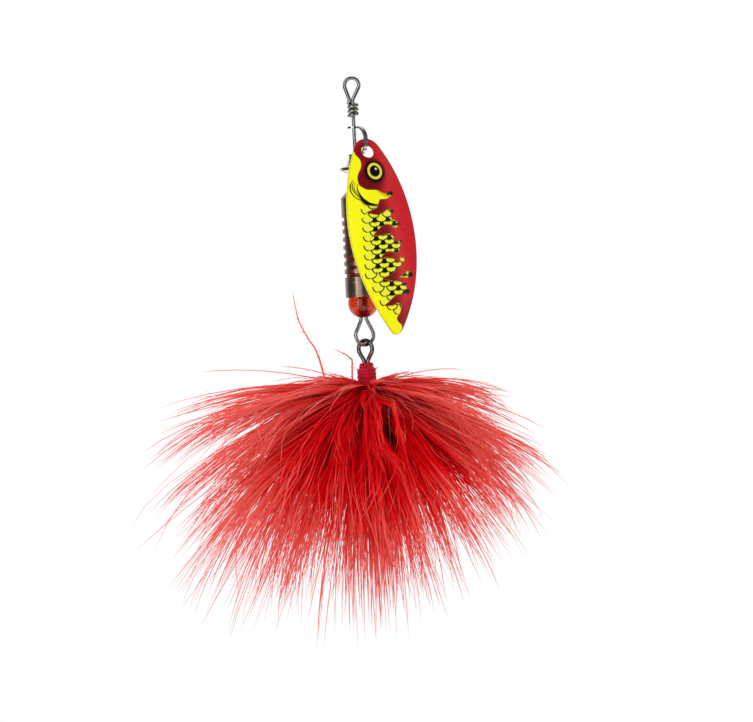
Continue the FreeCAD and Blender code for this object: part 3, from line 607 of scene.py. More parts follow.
def fish_paint(paint, down, right, spray, belly, back):
    """The whole drawing: belly, scales, red back, ink, a painted shade along the rim, and eye."""
    red = red_share(paint, down, right)
    scales, cup = scale_ink(paint, down, right)
    colour = paint.mix(paint.fade(spray, 0.4, 0.75, 0.0, 0.2), belly, (0.80, 0.72, 0.0))
    colour = paint.mix(paint.times(cup, 0.40), colour, (0.66, 0.70, 0.055))
    colour = paint.mix(paint.fade(red, -0.05, 0.06), colour, back_colour(paint, down, right, spray, back))
    colour = paint.mix(drawn_ink(paint, down, right, red, scales), colour, BLACK)
    # painted shade: a dark line along the blade's edge, stronger on the right than on the left
    for side, share in RIM_SHADE_SHARES:
        edge = distance_to(paint, down, right, (RIM_DOWN, -RIM_ASIDE * side))
        colour = paint.mix(paint.fade(edge, *RIM_RADII, 0.0, share), colour, RIM_SHADE)
    return eye_ring(paint, down, right, colour)


def painted_leaf(name, belly, back):
    """Lacquered blade: yellow belly, red back with bars, scales, gill and eye; bare nickel behind."""
    paint = Finish(name)
    turned = Matrix.Rotation(BLADE_TURN, 3, "Z") @ Matrix.Rotation(BLADE_LEAN, 3, "X")
    turned = turned @ Matrix.Rotation(BLADE_ROLL, 3, "Y")
    down, right, spray = blade_place(paint, turned)
    colour = fish_paint(paint, down, right, spray, belly, back)

    # paint on the front and the rim; the back is bare nickel
    facing = paint.nodes.new("ShaderNodeVectorMath")
    facing.operation = "DOT_PRODUCT"
    paint.wire(paint.place.outputs["Normal"], facing.inputs[0])
    facing.inputs[1].default_value = turned @ Vector((0, -1, 0))
    front = paint.fade(facing.outputs["Value"], -0.50, -0.30)
    scratch = paint.noise(paint.mapping(rotation=(0, 0.5, 0), scale=(1, 1, 0.05)), 2600.0, 3.0)
    nickel = paint.mix(paint.fade(scratch, 0.3, 0.7), (0.36, 0.35, 0.33), (0.58, 0.56, 0.53))
    paint.set(
        Base_Color=paint.mix(front, nickel, colour),
        Metallic=paint.fade(front, 0.4, 0.6, 1.0, 0.0),
        Roughness=paint.fade(spray, 0.3, 0.7, 0.24, 0.34),
        Specular_IOR_Level=0.22,
    )
    paint.bump(paint.add(paint.times(spray, 0.4), paint.times(scratch, 0.2)), 0.06, 0.04 * MM)
    return paint


# ---------------------------------------------------------------- strands


# a strand's outline: flat for a fluffy barb, three-sided for a hair or a thread
FLAT_OUTLINE = ((1.0, 0.0), (0.0, 0.08), (-1.0, 0.0), (0.0, -0.08))
HAIR_OUTLINE = ((0.5, 0.866), (-1.0, 0.0), (0.5, -0.866))


def strand_profile(name, corners):
    """A closed outline, swept along each strand."""
    curve = bpy.data.curves.new(name, "CURVE")
    curve.dimensions = "2D"
    outline = curve.splines.new("POLY")
    outline.points.add(len(corners) - 1)
    for point, (x, y) in zip(outline.points, corners):
        point.co = (x, y, 0, 1)
    outline.use_cyclic_u = True
    obj = bpy.data.objects.new(name, curve)
    bpy.context.scene.collection.objects.link(obj)
    return obj


def sweep(name, profile, strands, values):
    """A mesh of many strands: each is (points, radii, tilt). values holds named numbers for each point."""
    curve = bpy.data.curves.new(name, "CURVE")
    curve.dimensions = "3D"
    curve.bevel_mode, curve.bevel_object = "OBJECT", profile
    curve.twist_mode = "Z_UP"
    for points, radii, tilt in strands:
        spline = curve.splines.new("POLY")
        spline.points.add(len(points) - 1)
        flat = np.ones((len(points), 4))
        flat[:, :3] = points
        spline.points.foreach_set("co", flat.ravel())
        spline.points.foreach_set("radius", radii)
        spline.points.foreach_set("tilt", [tilt] * len(points))
        spline.use_smooth = True
    obj = bpy.data.objects.new(name, curve)
    bpy.context.scene.collection.objects.link(obj)
    graph = bpy.context.evaluated_depsgraph_get()
    mesh = bpy.data.meshes.new_from_object(obj.evaluated_get(graph))
    corners = len(profile.data.splines[0].points)
    for label, numbers in values.items():
        layer = mesh.attributes.new(label, "FLOAT", "POINT")
        spread = np.repeat(np.asarray(numbers, np.float32).ravel(), corners)
        if len(spread) != len(mesh.vertices):
            raise RuntimeError(f"{name}: {len(spread)} values for {len(mesh.vertices)} vertices")
        layer.data.foreach_set("value", spread)
    bpy.data.objects.remove(obj)
    bpy.data.curves.remove(curve)
    return mesh


def joined(name, meshes):
    """One closed mesh object from several meshes, its pointed ends merged."""
    bm = bmesh.new()
    for mesh in meshes:
        bm.from_mesh(mesh)
        bpy.data.meshes.remove(mesh)
    bmesh.ops.remove_doubles(bm, verts=bm.verts, dist=1e-8)
    bmesh.ops.recalc_face_normals(bm, faces=bm.faces)
    result = bpy.data.meshes.new(name)
    bm.to_mesh(result)
    bm.free()
    obj = bpy.data.objects.new(name, result)
    bpy.context.scene.collection.objects.link(obj)
    return obj


# ---------------------------------------------------------------- plumes

THREAD_FOOT = Vector((0.0, 0.0, THREAD_LOW.z))
STEPS = np.array((0.0, 0.025, 0.06, 0.12, 0.21, 0.33, 0.47, 0.61, 0.75, 0.88, 1.0))
# how far the longest barbs reach, in millimetres, by their lean from straight down in degrees
REACH_LEFT = [(0, 54), (6, 53.5), (17, 56), (29, 60), (40, 64), (49, 62), (65, 55), (78, 49), (95, 41)]
REACH_RIGHT = [(0, 54), (15, 53), (24, 51), (34, 50), (49, 49), (59, 47), (68, 42), (78, 33), (95, 25)]
DEEPEST = 35.5 * MM
ROOT_RADIUS = 1.75 * MM
# the hook's arms: heading in degrees, and how far barbs part in front of them in millimetres
ARMS = ((172.8, 0.0), (-67.2, 1.3), (52.8, 0.0))
ARM_RADIUS, ARM_CLEAR, ARM_TOP, ARM_FOOT = 9.9 * MM, 0.75 * MM, -62.4 * MM, -74.0 * MM
# bunches of barbs in a plume: one in how many of its barbs, their shortest and longest share of the reach,
# how far they stray from their lock, and what share of that is left at the tip
LOCKS = 30
BUNCHES = {
    "broad": (4, 0.52, 1.0, 0.075, 0.22),
    "down": (9, 0.18, 0.44, 0.20, 0.7),
    "fine": (4, 0.62, 1.0, 0.070, 0.20),
    "stray": (7, 0.45, 1.0, 0.15, 0.8),
}
DOWN_LEAN = 0.16
# the grid that crowding is counted on: its cells, how many there are each way, and how low its middle is
CELL, CELLS, GRID_DROP = 2.0 * MM, 64, 90 * MM


def reach_of(turn, lean):
    """How far a barb may reach from the thread, by its heading and lean."""
    degrees = np.degrees(lean)
    left = np.interp(degrees, *np.transpose(REACH_LEFT))
    right = np.interp(degrees, *np.transpose(REACH_RIGHT))
    full = (left + (right - left) * (1 + np.cos(turn)) / 2) * MM
    aside = np.abs(np.sin(lean) * np.sin(turn))
    return np.minimum(full, DEEPEST / np.maximum(aside, 0.05))


def barb_paths(dice, turn, lean, share, droop, curl, loose, tight):
    """Paths of many barbs: they leave the thread downwards, flare out, then droop and curl."""
    count = len(turn)
    turn, lean, share, droop, curl = (np.reshape(v, (-1, 1)) for v in (turn, lean, share, droop, curl))
    middles = (STEPS[1:] + STEPS[:-1]) / 2
    parting = 1 - (1 - tight) * middles
    aside = dice.normal(0, 1, (count, 1)) * loose / np.maximum(np.sin(lean), 0.3) * parting
    astray = dice.normal(0, 1, (count, 1)) * loose * parting
    phase = dice.uniform(0, 2 * np.pi, (count, 1))
    ripple = dice.normal(0, 0.24, (count, 1)) * np.sin(middles * 7 + phase) * middles
    heads = turn + aside + curl * middles**2 + ripple
    leaves = turn + aside[:, :1]
    root = np.concatenate([np.cos(leaves), np.sin(leaves), np.zeros((count, 1))], 1)
    root = root * dice.uniform(0.6, 1.0, (count, 1)) * ROOT_RADIUS
    root[:, 2] = THREAD_FOOT.z + dice.uniform(0.1, 0.7, count) * MM
    way = bent_ways(heads, lean, astray, droop * (0.42 - middles), middles)
    chord = np.linalg.norm(way[:, -1], axis=1)
    length = reach_of(turn[:, 0], np.clip(lean[:, 0] + astray[:, -1], 0, 1.6)) * share[:, 0] / chord
    way = np.concatenate([np.zeros((count, 1, 3)), way], 1) * length[:, None, None]
    way[:, :, 1] *= np.minimum(1, DEEPEST / np.abs(way[:, :, 1]).max(1))[:, None]
    return part_round_arms(root[:, None, :] + way)


def bent_ways(heads, lean, astray, bend, middles):
    """Bends each barb and turns it back, twice, so that its tip still lies at the lean it was given."""
    leans = lean + astray + bend
    for _ in range(2):
        tilt = leans * (1 - 0.8 * np.exp(-middles / 0.035))
        way = np.stack([np.sin(tilt) * np.cos(heads), np.sin(tilt) * np.sin(heads), -np.cos(tilt)], 2)
        way = np.cumsum(way * np.diff(STEPS)[:, None], 1)
        end = np.arccos(np.clip(-way[:, -1, 2] / np.linalg.norm(way[:, -1], axis=1), -1, 1))
        leans = leans - (end[:, None] - (lean + astray[:, -1:]))
    return way


def part_round_arms(points):
    """Combs the barbs away from the hook's arms, and apart in front of them."""
    for degrees, gap in ARMS:
        arm_x = ARM_RADIUS * math.cos(math.radians(degrees))
        arm_y = ARM_RADIUS * math.sin(math.radians(degrees))
        level = np.clip((points[:, :, 2] - ARM_FOOT) / (2.5 * MM), 0, 1)
        level *= np.clip((ARM_TOP + 1.5 * MM - points[:, :, 2]) / (1.5 * MM), 0, 1)
        ahead = np.clip((arm_y + 1.0 * MM - points[:, :, 1]) / (1.0 * MM), 0, 1)
        beside, near = points[:, :, 0] - arm_x, level * ahead
        side = np.where(np.sum(beside * near, 1, keepdims=True) < 0, -1.0, 1.0)
        clear = (side * beside + np.hypot(beside, 2 * gap * MM)) / 2
        if gap > 0:
            points[:, :, 0] = arm_x + beside * (1 - near) + side * near * clear
        beside, before = points[:, :, 0] - arm_x, points[:, :, 1] - arm_y
        far = np.hypot(beside, before) + 1e-9
        wider = np.sqrt(far**2 + (ARM_CLEAR * level) ** 2) / far
        points[:, :, 0], points[:, :, 1] = arm_x + beside * wider, arm_y + before * wider
    return points


def bunch_paths(dice, locks, barbs, bunch):
    """Paths of one bunch: each barb takes a lock's heading, lean, length share, droop and curl."""
    one_in, low, high, loose, tight = BUNCHES[bunch]
    count = barbs // one_in
    turn, lean, reach, droop, curl = locks[dice.integers(0, len(locks), count)].T
    return barb_paths(dice, turn, lean, reach * dice.uniform(low, high, count), droop, curl, loose, tight)


def plume_paths(turn, lean, sizes, dice):
    """Paths of one plume's broad barbs, down and fine barbs, bunched in locks."""
    locks = np.stack([
        turn + dice.normal(0, 0.30, LOCKS) / max(0.5, math.sin(lean)),
        np.clip(lean + dice.normal(0, 0.27, LOCKS), 0.04, 1.45),
        dice.uniform(0.78, 1.0, LOCKS),
        dice.uniform(0.1, 1.0, LOCKS) * math.sin(lean),
        dice.normal(0, 0.50, LOCKS),
    ], 1)
    broad = bunch_paths(dice, locks, sizes.barbs, "broad")
    down = bunch_paths(dice, locks + (0, DOWN_LEAN, 0, 0, 0), sizes.barbs, "down")
    fine = bunch_paths(dice, locks, sizes.barbs, "fine")
    stray = bunch_paths(dice, locks, sizes.barbs, "stray")
    return broad, down, np.concatenate([fine, stray])


# the crowd is the mask for the plumes' painted light: where it is low, the down is painted paler as if light
# shone through it
def crowding(paths):
    """How thick the dressing is round each point, from 0 in the open and at the sides to 1 in its heart."""
    spots = np.concatenate([p.reshape(-1, 3) for p in paths])
    index = np.clip(((spots + (0, 0, GRID_DROP)) / CELL + CELLS / 2).astype(int), 1, CELLS - 2)
    count = np.zeros((CELLS,) * 3)
    np.add.at(count, tuple(index.T), 1.0)
    for axis in range(3):
        count = (np.roll(count, 1, axis) + 2 * count + np.roll(count, -1, axis)) / 4
    dense = np.log1p(count[tuple(index.T)])
    thin, thick = np.percentile(dense, (15, 88))
    dense = np.clip((dense - thin) / (thick - thin), 0, 1)
    away = spots - np.array(THREAD_FOOT)
    far = np.linalg.norm(away, axis=1)
    aside = np.degrees(np.arctan2(np.abs(away[:, 0] + 2 * MM), np.maximum(-away[:, 2], 0.1 * MM)))
    heart = np.clip((44 * MM - far) / (20 * MM), 0, 1) * np.clip((78 - aside) / 34, 0, 1)
    dense = 0.25 * dense + 0.75 * heart
    return np.split(dense, np.cumsum([p.shape[0] * p.shape[1] for p in paths])[:-1])


def broad_widths(dice, count, widest):
    """Half widths of fluffy barbs: thin at the root, full by the middle, and a fine closed tip."""
    full = widest * dice.uniform(0.35, 1.0, (count, 1))
    last = dice.uniform(0.34, 0.92, (count, 1))
    fluff = np.clip(STEPS / 0.14, 0.35, 1) * np.clip(1 - (STEPS / last) ** 2.6, 0, 1)
    fluff = full * fluff * dice.uniform(0.8, 1.1, (count, len(STEPS)))
    widths = fluff + 0.05 * MM
    widths[:, 0] = widths[:, -1] = 0
    return widths


def fine_widths(dice, count, widest):
    """Half widths of fine hairs, which taper to half by the tip."""
    widths = widest * dice.uniform(0.6, 1.2, (count, 1)) * (1.05 - 0.50 * STEPS)
    widths[:, 0] = widths[:, -1] = 0
    return widths


def barbules(dice, paths, widths, each):
    """Short side hairs that stand along the broad barbs' edges."""
    count = len(paths) * each
    which = np.repeat(np.arange(len(paths)), each)
    place = dice.uniform(2.2, 8.2, count)
    step = place.astype(int)
    share = (place - step)[:, None]
    first, second = paths[which, step], paths[which, step + 1]
    ahead = (second - first) / np.linalg.norm(second - first, axis=1)[:, None]
    out = dice.normal(0, 1, (count, 3))
    out -= ahead * np.sum(out * ahead, 1)[:, None]
    out /= np.linalg.norm(out, axis=1)[:, None]
    root = first + (second - first) * share
    size = (dice.uniform(0.35, 0.9, count) * MM + widths[which, step] * 0.9)[:, None]
    tip = root + (ahead * 0.75 + out * 0.8) * size
    middle = (root + tip) / 2 + (out - ahead) * size * 0.06
    return np.stack([root, middle, tip], 1), np.repeat(STEPS[step][:, None], 3, 1)


# tones of the plumes: in the open and further out, paler as painted light shining through thin down; and at
# the tips
OPEN_BACKLIT_TONE, PALE_BACKLIT_TONE, END_TONE = (1.0, 0.100, 0.088), (1.0, 0.30, 0.26), (0.96, 0.18, 0.16)
BARB_SPREAD, GLOW_SHARE = 0.20, 0.62


def marabou(name, colour):
    """Down in one dyed red: saturated in the thick of the dressing, paler where it thins out and further out
    as painted light shining through it; barbs differ a little.
    """
    finish = Finish(name)
    along, crowd = finish.attribute("along"), finish.attribute("crowd")
    island = finish.nodes.new("ShaderNodeNewGeometry").outputs["Random Per Island"]
    cloud = finish.noise(finish.mapping(), 220.0, 3.0, 0.6)
    thick = finish.slope(cloud, 0.30, finish.subtract(crowd, 0.15))
    thick = finish.slope(island, BARB_SPREAD, finish.subtract(thick, BARB_SPREAD / 2))
    thick = finish.fade(thick, 0.22, 0.62)
    thick = finish.either(thick, finish.fade(along, 0.14, 0.04))
    # painted light: the paler tones stand for light shining through thin down, set by the crowd and by how
    # far along
    thin = finish.mix(finish.fade(along, 0.30, 0.66), OPEN_BACKLIT_TONE, PALE_BACKLIT_TONE)
    tone = finish.mix(thick, thin, colour)
    ends = finish.fade(island, 0.0, 1.0, 0.4, 1.0, smooth=False)
    tone = finish.mix(finish.times(finish.fade(along, 0.72, 1.0), ends), tone, END_TONE)
    finish.set(Base_Color=tone, Roughness=finish.fade(island, 0.0, 1.0, 0.55, 0.8), Specular_IOR_Level=0.2)
    finish.overlay(GLOW_SHARE, "ShaderNodeBsdfTranslucent", tone)
    return finish


# ---------------------------------------------------------------- thread


THREAD_HEIGHT = THREAD_HIGH.z - THREAD_LOW.z
NECK_RADIUS, BARREL_RADIUS = 1.42 * MM, 1.95 * MM
# shares of the height: where the foot's swell ends, and where the barrel narrows to the neck
FOOT_END, NECK_START = 0.12, 0.72
TURN_STEPS, TURN_OVERLAP = 20, 0.86
CORE_SHARES = (0.03, 0.1, 0.3, 0.5, 0.7, 0.8, 0.95)
LOOSE_ENDS = 26


def wrap_radius(share):
    """Radius of the wraps from the foot at 0 to the neck at 1."""
    if share < FOOT_END:
        return BARREL_RADIUS * (0.93 + share / 2)
    if share < NECK_START:
        return BARREL_RADIUS * (0.99 - 0.05 * (share - FOOT_END))
    return NECK_RADIUS + (BARREL_RADIUS - NECK_RADIUS) * max(0.0, 0.92 - (share - NECK_START) / 0.12)


def thread_coil(thread, dice):
    """Points and radii of the thread laid in turns side by side."""
    last = int(THREAD_HEIGHT / (thread * TURN_OVERLAP)) * TURN_STEPS
    points, radii = [], []
    for step in range(last + 1):
        share, angle = step / last, step / TURN_STEPS * math.tau
        wander = 0.04 * MM * math.sin(share * 37) + 0.02 * MM * math.sin(angle * 0.5 + share * 90)
        reach = wrap_radius(share) - thread * 0.35 + wander
        tilt = 0.10 * MM * math.sin(angle + share * 9)
        height = THREAD_LOW.z + thread * 0.5 + share * (THREAD_HEIGHT - thread) + tilt
        points.append(Vector((math.cos(angle) * reach, math.sin(angle) * reach, height)))
        radii.append(thread * 0.5 * (0 if step in (0, last) else dice.uniform(0.9, 1.05)))
    return points, radii


def thread_core(thread):
    """Half outline of the plain barrel under the wraps, as (radius, height)."""
    sides = [(wrap_radius(share) - thread * 0.62, share) for share in CORE_SHARES]
    closed = ((0.0, 0.02), *sides, (0.0, 0.98))
    return [(radius, THREAD_FOOT.z + THREAD_HEIGHT * share) for radius, share in closed]


def loose_ends(dice):
    """Short fibres that stand out of the wraps."""
    ends = []
    for _ in range(LOOSE_ENDS):
        angle, share = dice.uniform(0, math.tau), dice.choice((0.70, 0.72, 0.98, dice.random()))
        out = Vector((math.cos(angle), math.sin(angle), 0))
        root = out * (wrap_radius(share) - 0.1 * MM) + Vector((0, 0, THREAD_LOW.z + THREAD_HEIGHT * share))
        tip = root + out * dice.uniform(0.15, 0.5) * MM
        tip += Vector((dice.gauss(0, 0.25), dice.gauss(0, 0.25), dice.uniform(-0.1, 0.55))) * MM
        ends.append(((root, root.lerp(tip, 0.6), tip), (0.06 * MM, 0.04 * MM, 0.0), 0.0))
    return ends


def core_mesh(outline):
    """The plain barrel under the wraps, spun from its half outline."""
    bm = bmesh.new()
    verts = [bm.verts.new((radius, 0, height)) for radius, height in outline]
    edges = [bm.edges.new(pair) for pair in zip(verts, verts[1:])]
    bmesh.ops.spin(bm, geom=verts + edges, cent=(0, 0, 0), axis=(0, 0, 1), angle=math.tau,
                   steps=24, use_merge=True)
    bmesh.ops.remove_doubles(bm, verts=bm.verts, dist=1e-7)
    bmesh.ops.recalc_face_normals(bm, faces=bm.faces)
    mesh = bpy.data.meshes.new("thread_core")
    bm.to_mesh(mesh)
    bm.free()
    return mesh


def crimson_thread(name, colour):
    """Waxed thread: twisted fibres with darker streaks from noise, partly fibre tone and partly painted
    shade between the turns.
    """
    finish = Finish(name)
    fibres = finish.noise(finish.mapping(rotation=(0.6, 0.3, 0), scale=(1, 1, 3)), 5200.0, 3.0)
    patch = finish.noise(finish.mapping(location=(4, 4, 0)), 900.0, 3.0)
    # dark streaks from the fibre noise: fibre tone and painted shade between the turns
    colour = finish.mix(finish.fade(fibres, 0.3, 0.72), (0.16, 0.0, 0.012), colour)
    colour = finish.mix(finish.fade(patch, 0.45, 0.8, 0.0, 0.6), colour, (0.62, 0.01, 0.05))
    rough = finish.fade(fibres, 0.3, 0.7, 0.4, 0.65)
    finish.set(Base_Color=colour, Roughness=rough, Specular_IOR_Level=0.25)
    finish.bump(fibres, 0.5, 0.03 * MM)
    return finish


# ---------------------------------------------------------------- operators


class SPINNER_OT_metalwork(bpy.types.Operator):
    """Gives the shaft, the clevis, the hooks, the bearing and the small bead their metal finishes"""

    bl_idname = "spinner.metalwork"
    bl_label = "Metalwork"

    def execute(self, context):
        wire = wire_metal("nickel_wire", (0.27, 0.255, 0.235), (0.42, 0.405, 0.38), 1.0, 0.10)
        wire.onto(NODES["wire_shaft"])
        wire_metal("nickel_strip", (0.42, 0.41, 0.39), (0.64, 0.63, 0.61), 2.0, 0.14).onto(NODES["clevis"])
        wire_metal("black_nickel", (0.13, 0.126, 0.120), (0.27, 0.262, 0.250), 3.0, 0.09).onto(
            NODES["hook_double"], NODES["hook_single"])
        pale_brass("bearing_brass", (0.55, 0.44, 0.34), (0.80, 0.68, 0.56)).onto(NODES["hub_bearing"])
        pale_brass("bead_brass", (0.46, 0.34, 0.20), (0.66, 0.52, 0.35)).onto(NODES["spacer_bead"])
        return {"FINISHED"}


class SPINNER_OT_body(bpy.types.Operator):
    """Gives the ribbed body its bronze and its lacquered grooves"""

    bl_idname = "spinner.body"
    bl_label = "Body"

    def execute(self, context):
        bronze_body("bronzed_brass").onto(NODES["body"])
        return {"FINISHED"}


class SPINNER_OT_bead(bpy.types.Operator):
    """Gives the large bead its red glass"""

    bl_idname = "spinner.bead"
    bl_label = "Glass bead"

    def execute(self, context):
        red_glass("red_glass", context.scene.spinner_colours.glass[:]).onto(NODES["glass_bead"])
        return {"FINISHED"}


class SPINNER_OT_blade(bpy.types.Operator):
    """Paints the front of the blade and leaves its back bare"""

    bl_idname = "spinner.blade"
    bl_label = "Blade"

    def execute(self, context):
        colours = context.scene.spinner_colours
        painted_leaf("painted_blade", colours.belly[:], colours.back[:]).onto(NODES["blade"])
        return {"FINISHED"}


class SPINNER_OT_thread(bpy.types.Operator):
    """Winds the tying thread round the hook's shank"""

    bl_idname = "spinner.thread"
    bl_label = "Thread wraps"

    def execute(self, context):
        sizes, colours = context.scene.spinner_sizes, context.scene.spinner_colours
        dice = random.Random(THREAD_SEED)
        profile = strand_profile("thread_section", HAIR_OUTLINE)
        coil = sweep("coil", profile, [(*thread_coil(sizes.thread, dice), 0.0)], {})
        loose = sweep("loose", profile, loose_ends(dice), {})
        bpy.data.objects.remove(profile)
        obj = joined("thread_wraps", [coil, loose, core_mesh(thread_core(sizes.thread))])
        crimson_thread("tying_thread", colours.thread[:]).onto(obj)
        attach(obj, "hook")
        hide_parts("thread_binding")
        return {"FINISHED"}


class SPINNER_OT_plumes(bpy.types.Operator):
    """Ties the nine marabou plumes below the thread"""

    bl_idname = "spinner.plumes"
    bl_label = "Plumes"

    def execute(self, context):
        sizes, colours = context.scene.spinner_sizes, context.scene.spinner_colours
        fluff = marabou("red_marabou", colours.plume[:])
        profiles = strand_profile("barb_section", FLAT_OUTLINE), strand_profile("hair_section", HAIR_OUTLINE)
        dice = {name: np.random.default_rng(PLUME_SEED + number) for number, name in enumerate(PLUMES)}
        plumes = {
            name: plume_paths(math.radians(turn), math.radians(lean), sizes, dice[name])
            for name, (turn, lean) in PLUMES.items()
        }
        crowds = iter(crowding([paths for plume in plumes.values() for paths in plume]))
        for name, plume in plumes.items():
            obj = plume_piece(name, plume, [next(crowds) for _ in plume], profiles, sizes, dice[name])
            fluff.onto(obj)
            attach(obj, "hook")
            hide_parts(f"plume_{name}")
        for profile in profiles:
            bpy.data.objects.remove(profile)
        return {"FINISHED"}


# half widths: shares of the barb width for broad barbs and for down; then shafts, hairs and side hairs
BROAD_SHARE, DOWN_SHARE = 0.5, 0.62
SHAFT_RADIUS, HAIR_RADIUS, SIDE_HAIR_RADIUS = 0.12 * MM, 0.125 * MM, 0.032 * MM
# single barbs that stand out, as places in millimetres: one long stray and one bent stem
LONE_WIDTHS = [0, 0.16, 0.2, 0.2, 0.2, 0.18, 0.17, 0.16, 0.14, 0.1, 0.0]
LONE_BARBS = {
    "left_front": [
        (-9.2, -1.0, -65.0), (-8.4, -2.4, -61.8), (-8.0, -3.0, -59.2), (-8.7, -3.2, -56.0),
        (-9.2, -3.2, -53.8), (-9.9, -3.2, -51.8), (-11.1, -3.2, -49.9), (-12.1, -3.1, -48.0),
        (-13.0, -3.0, -45.8), (-13.6, -3.0, -42.0), (-13.8, -3.0, -39.8),
    ],
    "front_left": [
        (-1.2, -1.6, -60.6), (-1.8, -2.4, -60.9), (-2.5, -2.9, -60.7), (-2.9, -3.0, -60.1),
        (-2.9, -3.0, -58.5), (-2.85, -3.0, -56.8), (-2.75, -3.0, -55.0), (-2.75, -3.0, -54.3),
        (-3.9, -3.0, -53.3), (-5.2, -3.0, -52.6), (-6.6, -3.0, -51.9),
    ],
}
# how many times a lone barb counts when side hairs are dealt out
LONE_COPIES = 3


def barb_mesh(name, profile, paths, widths, tilts, crowd):
    """A mesh of barbs that know how far along each point is and how crowded it is there."""
    values = {"along": np.broadcast_to(STEPS, crowd.shape), "crowd": crowd}
    return sweep(name, profile, zip(paths, widths, tilts), values)


def plume_piece(name, plume, crowds, profiles, sizes, dice):
    """Builds one plume's mesh from its paths."""
    flat, fine = profiles
    broad, down, hair = plume
    *crowd, hair_crowd = (near.reshape(-1, len(STEPS)) for near in crowds)
    fluffy, crowd = np.concatenate([broad, down]), np.concatenate(crowd)
    upright = np.zeros(max(len(fluffy), len(hair)))
    widths = np.concatenate([
        broad_widths(dice, len(broad), sizes.barb_width * BROAD_SHARE),
        broad_widths(dice, len(down), sizes.barb_width * DOWN_SHARE),
    ])
    meshes = [barb_mesh("fluff", flat, fluffy, widths, dice.normal(0, 0.5, len(fluffy)), crowd)]
    shafts = fine_widths(dice, len(fluffy), SHAFT_RADIUS)
    meshes.append(barb_mesh("shafts", fine, fluffy, shafts, upright, crowd))
    hair_widths = fine_widths(dice, len(hair), HAIR_RADIUS)
    meshes.append(barb_mesh("hair", fine, hair, hair_widths, upright, hair_crowd))
    if name in LONE_BARBS:
        lone, wide = np.array([LONE_BARBS[name]]) * MM, np.array([LONE_WIDTHS]) * MM
        values = {"along": [STEPS * 0.3 + 0.45], "crowd": [STEPS * 0]}
        meshes.append(sweep("lone", fine, zip(lone, wide, upright), values))
        fluffy = np.concatenate([fluffy, lone.repeat(LONE_COPIES, 0)])
        widths = np.concatenate([widths, wide.repeat(LONE_COPIES, 0)])
        crowd = np.concatenate([crowd, np.zeros((LONE_COPIES, len(STEPS)))])
    if sizes.barbules:
        side_hairs, place = barbules(dice, fluffy, widths, sizes.barbules)
        strands = [(path, (0.0, SIDE_HAIR_RADIUS, 0.0), 0.0) for path in side_hairs]
        near = np.repeat(np.repeat(crowd.mean(1), sizes.barbules)[:, None], 3, 1)
        meshes.append(sweep("barbules", fine, strands, {"along": place * 0.6, "crowd": near}))
    return joined(f"marabou_{name}", meshes)


# the view: how wide it is at the shaft, how far the line eye is left of its middle and above it, its roll,
# and how far away the camera stands
VIEW_WIDTH = 149.257 * MM
EYE_LEFT, EYE_UP = 4.916 * MM, 54.688 * MM
VIEW_ROLL = math.radians(2.98)
CAMERA_FAR = 0.9
SENSOR = 36.0

# each lamp: place in metres, width, height and power
LAMPS = {
    "key": ((-0.35, -0.83, 0.02), 0.60, 0.90, 2.5),
    "strip": ((-0.55, -0.72, 0.0), 0.10, 0.90, 1.1),
    "fill": ((0.80, -0.42, 0.05), 0.20, 0.80, 1.0),
    "top": ((0.10, 0.10, 0.80), 0.50, 0.50, 1.3),
}
LAMPS_AIM = Vector((0, 0, -0.055))
# the surround's strength from the near side to the far side: where it starts and ends to change, then both
# strengths, for plain light and for gloss
PLAIN_LIGHT, GLOSS_LIGHT = (-0.1, 0.6, 0.66, 2.1), (0.15, 0.75, 0.07, 1.0)

FLOOR_LEVEL, FLOOR_RADIUS = -0.158, 0.36
FLOOR_SOLID, FLOOR_GONE = 0.20, 0.35


class SPINNER_OT_stage(bpy.types.Operator):
    """Sets the camera, the lamps, the white surround and the pale floor"""

    bl_idname = "spinner.stage"
    bl_label = "Stage"

    def execute(self, context):
        scene = context.scene
        scene.view_settings.view_transform = "Standard"
        stand_camera(scene)
        hang_lamps(scene)
        light_surround(scene)
        lay_floor(scene)
        return {"FINISHED"}


def stand_camera(scene):
    """Stands the camera square to the shaft's front, rolled a little."""
    data = bpy.data.cameras.new("camera")
    data.sensor_width = SENSOR
    data.lens = SENSOR * CAMERA_FAR / VIEW_WIDTH
    data.clip_start, data.clip_end = 0.01, 10.0
    right = Vector((math.cos(VIEW_ROLL), 0, -math.sin(VIEW_ROLL)))
    up = Vector((math.sin(VIEW_ROLL), 0, math.cos(VIEW_ROLL)))
    back = right.cross(up)
    middle = LINE_EYE + right * EYE_LEFT - up * EYE_UP
    camera = bpy.data.objects.new("camera", data)
    turn = Matrix((right, up, back)).transposed().to_4x4()
    camera.matrix_world = Matrix.Translation(middle + back * CAMERA_FAR) @ turn
    scene.collection.objects.link(camera)
    scene.camera = camera


def hang_lamps(scene):
    """Hangs the soft lamps, each turned to the middle of the spinner."""
    for name, (place, width, height, power) in LAMPS.items():
        data = bpy.data.lights.new(name, "AREA")
        data.shape, data.size, data.size_y, data.energy = "RECTANGLE", width, height, power
        lamp = bpy.data.objects.new(name, data)
        lamp.location = place
        lamp.rotation_euler = (Vector(place) - LAMPS_AIM).to_track_quat("Z", "Y").to_euler()
        scene.collection.objects.link(lamp)


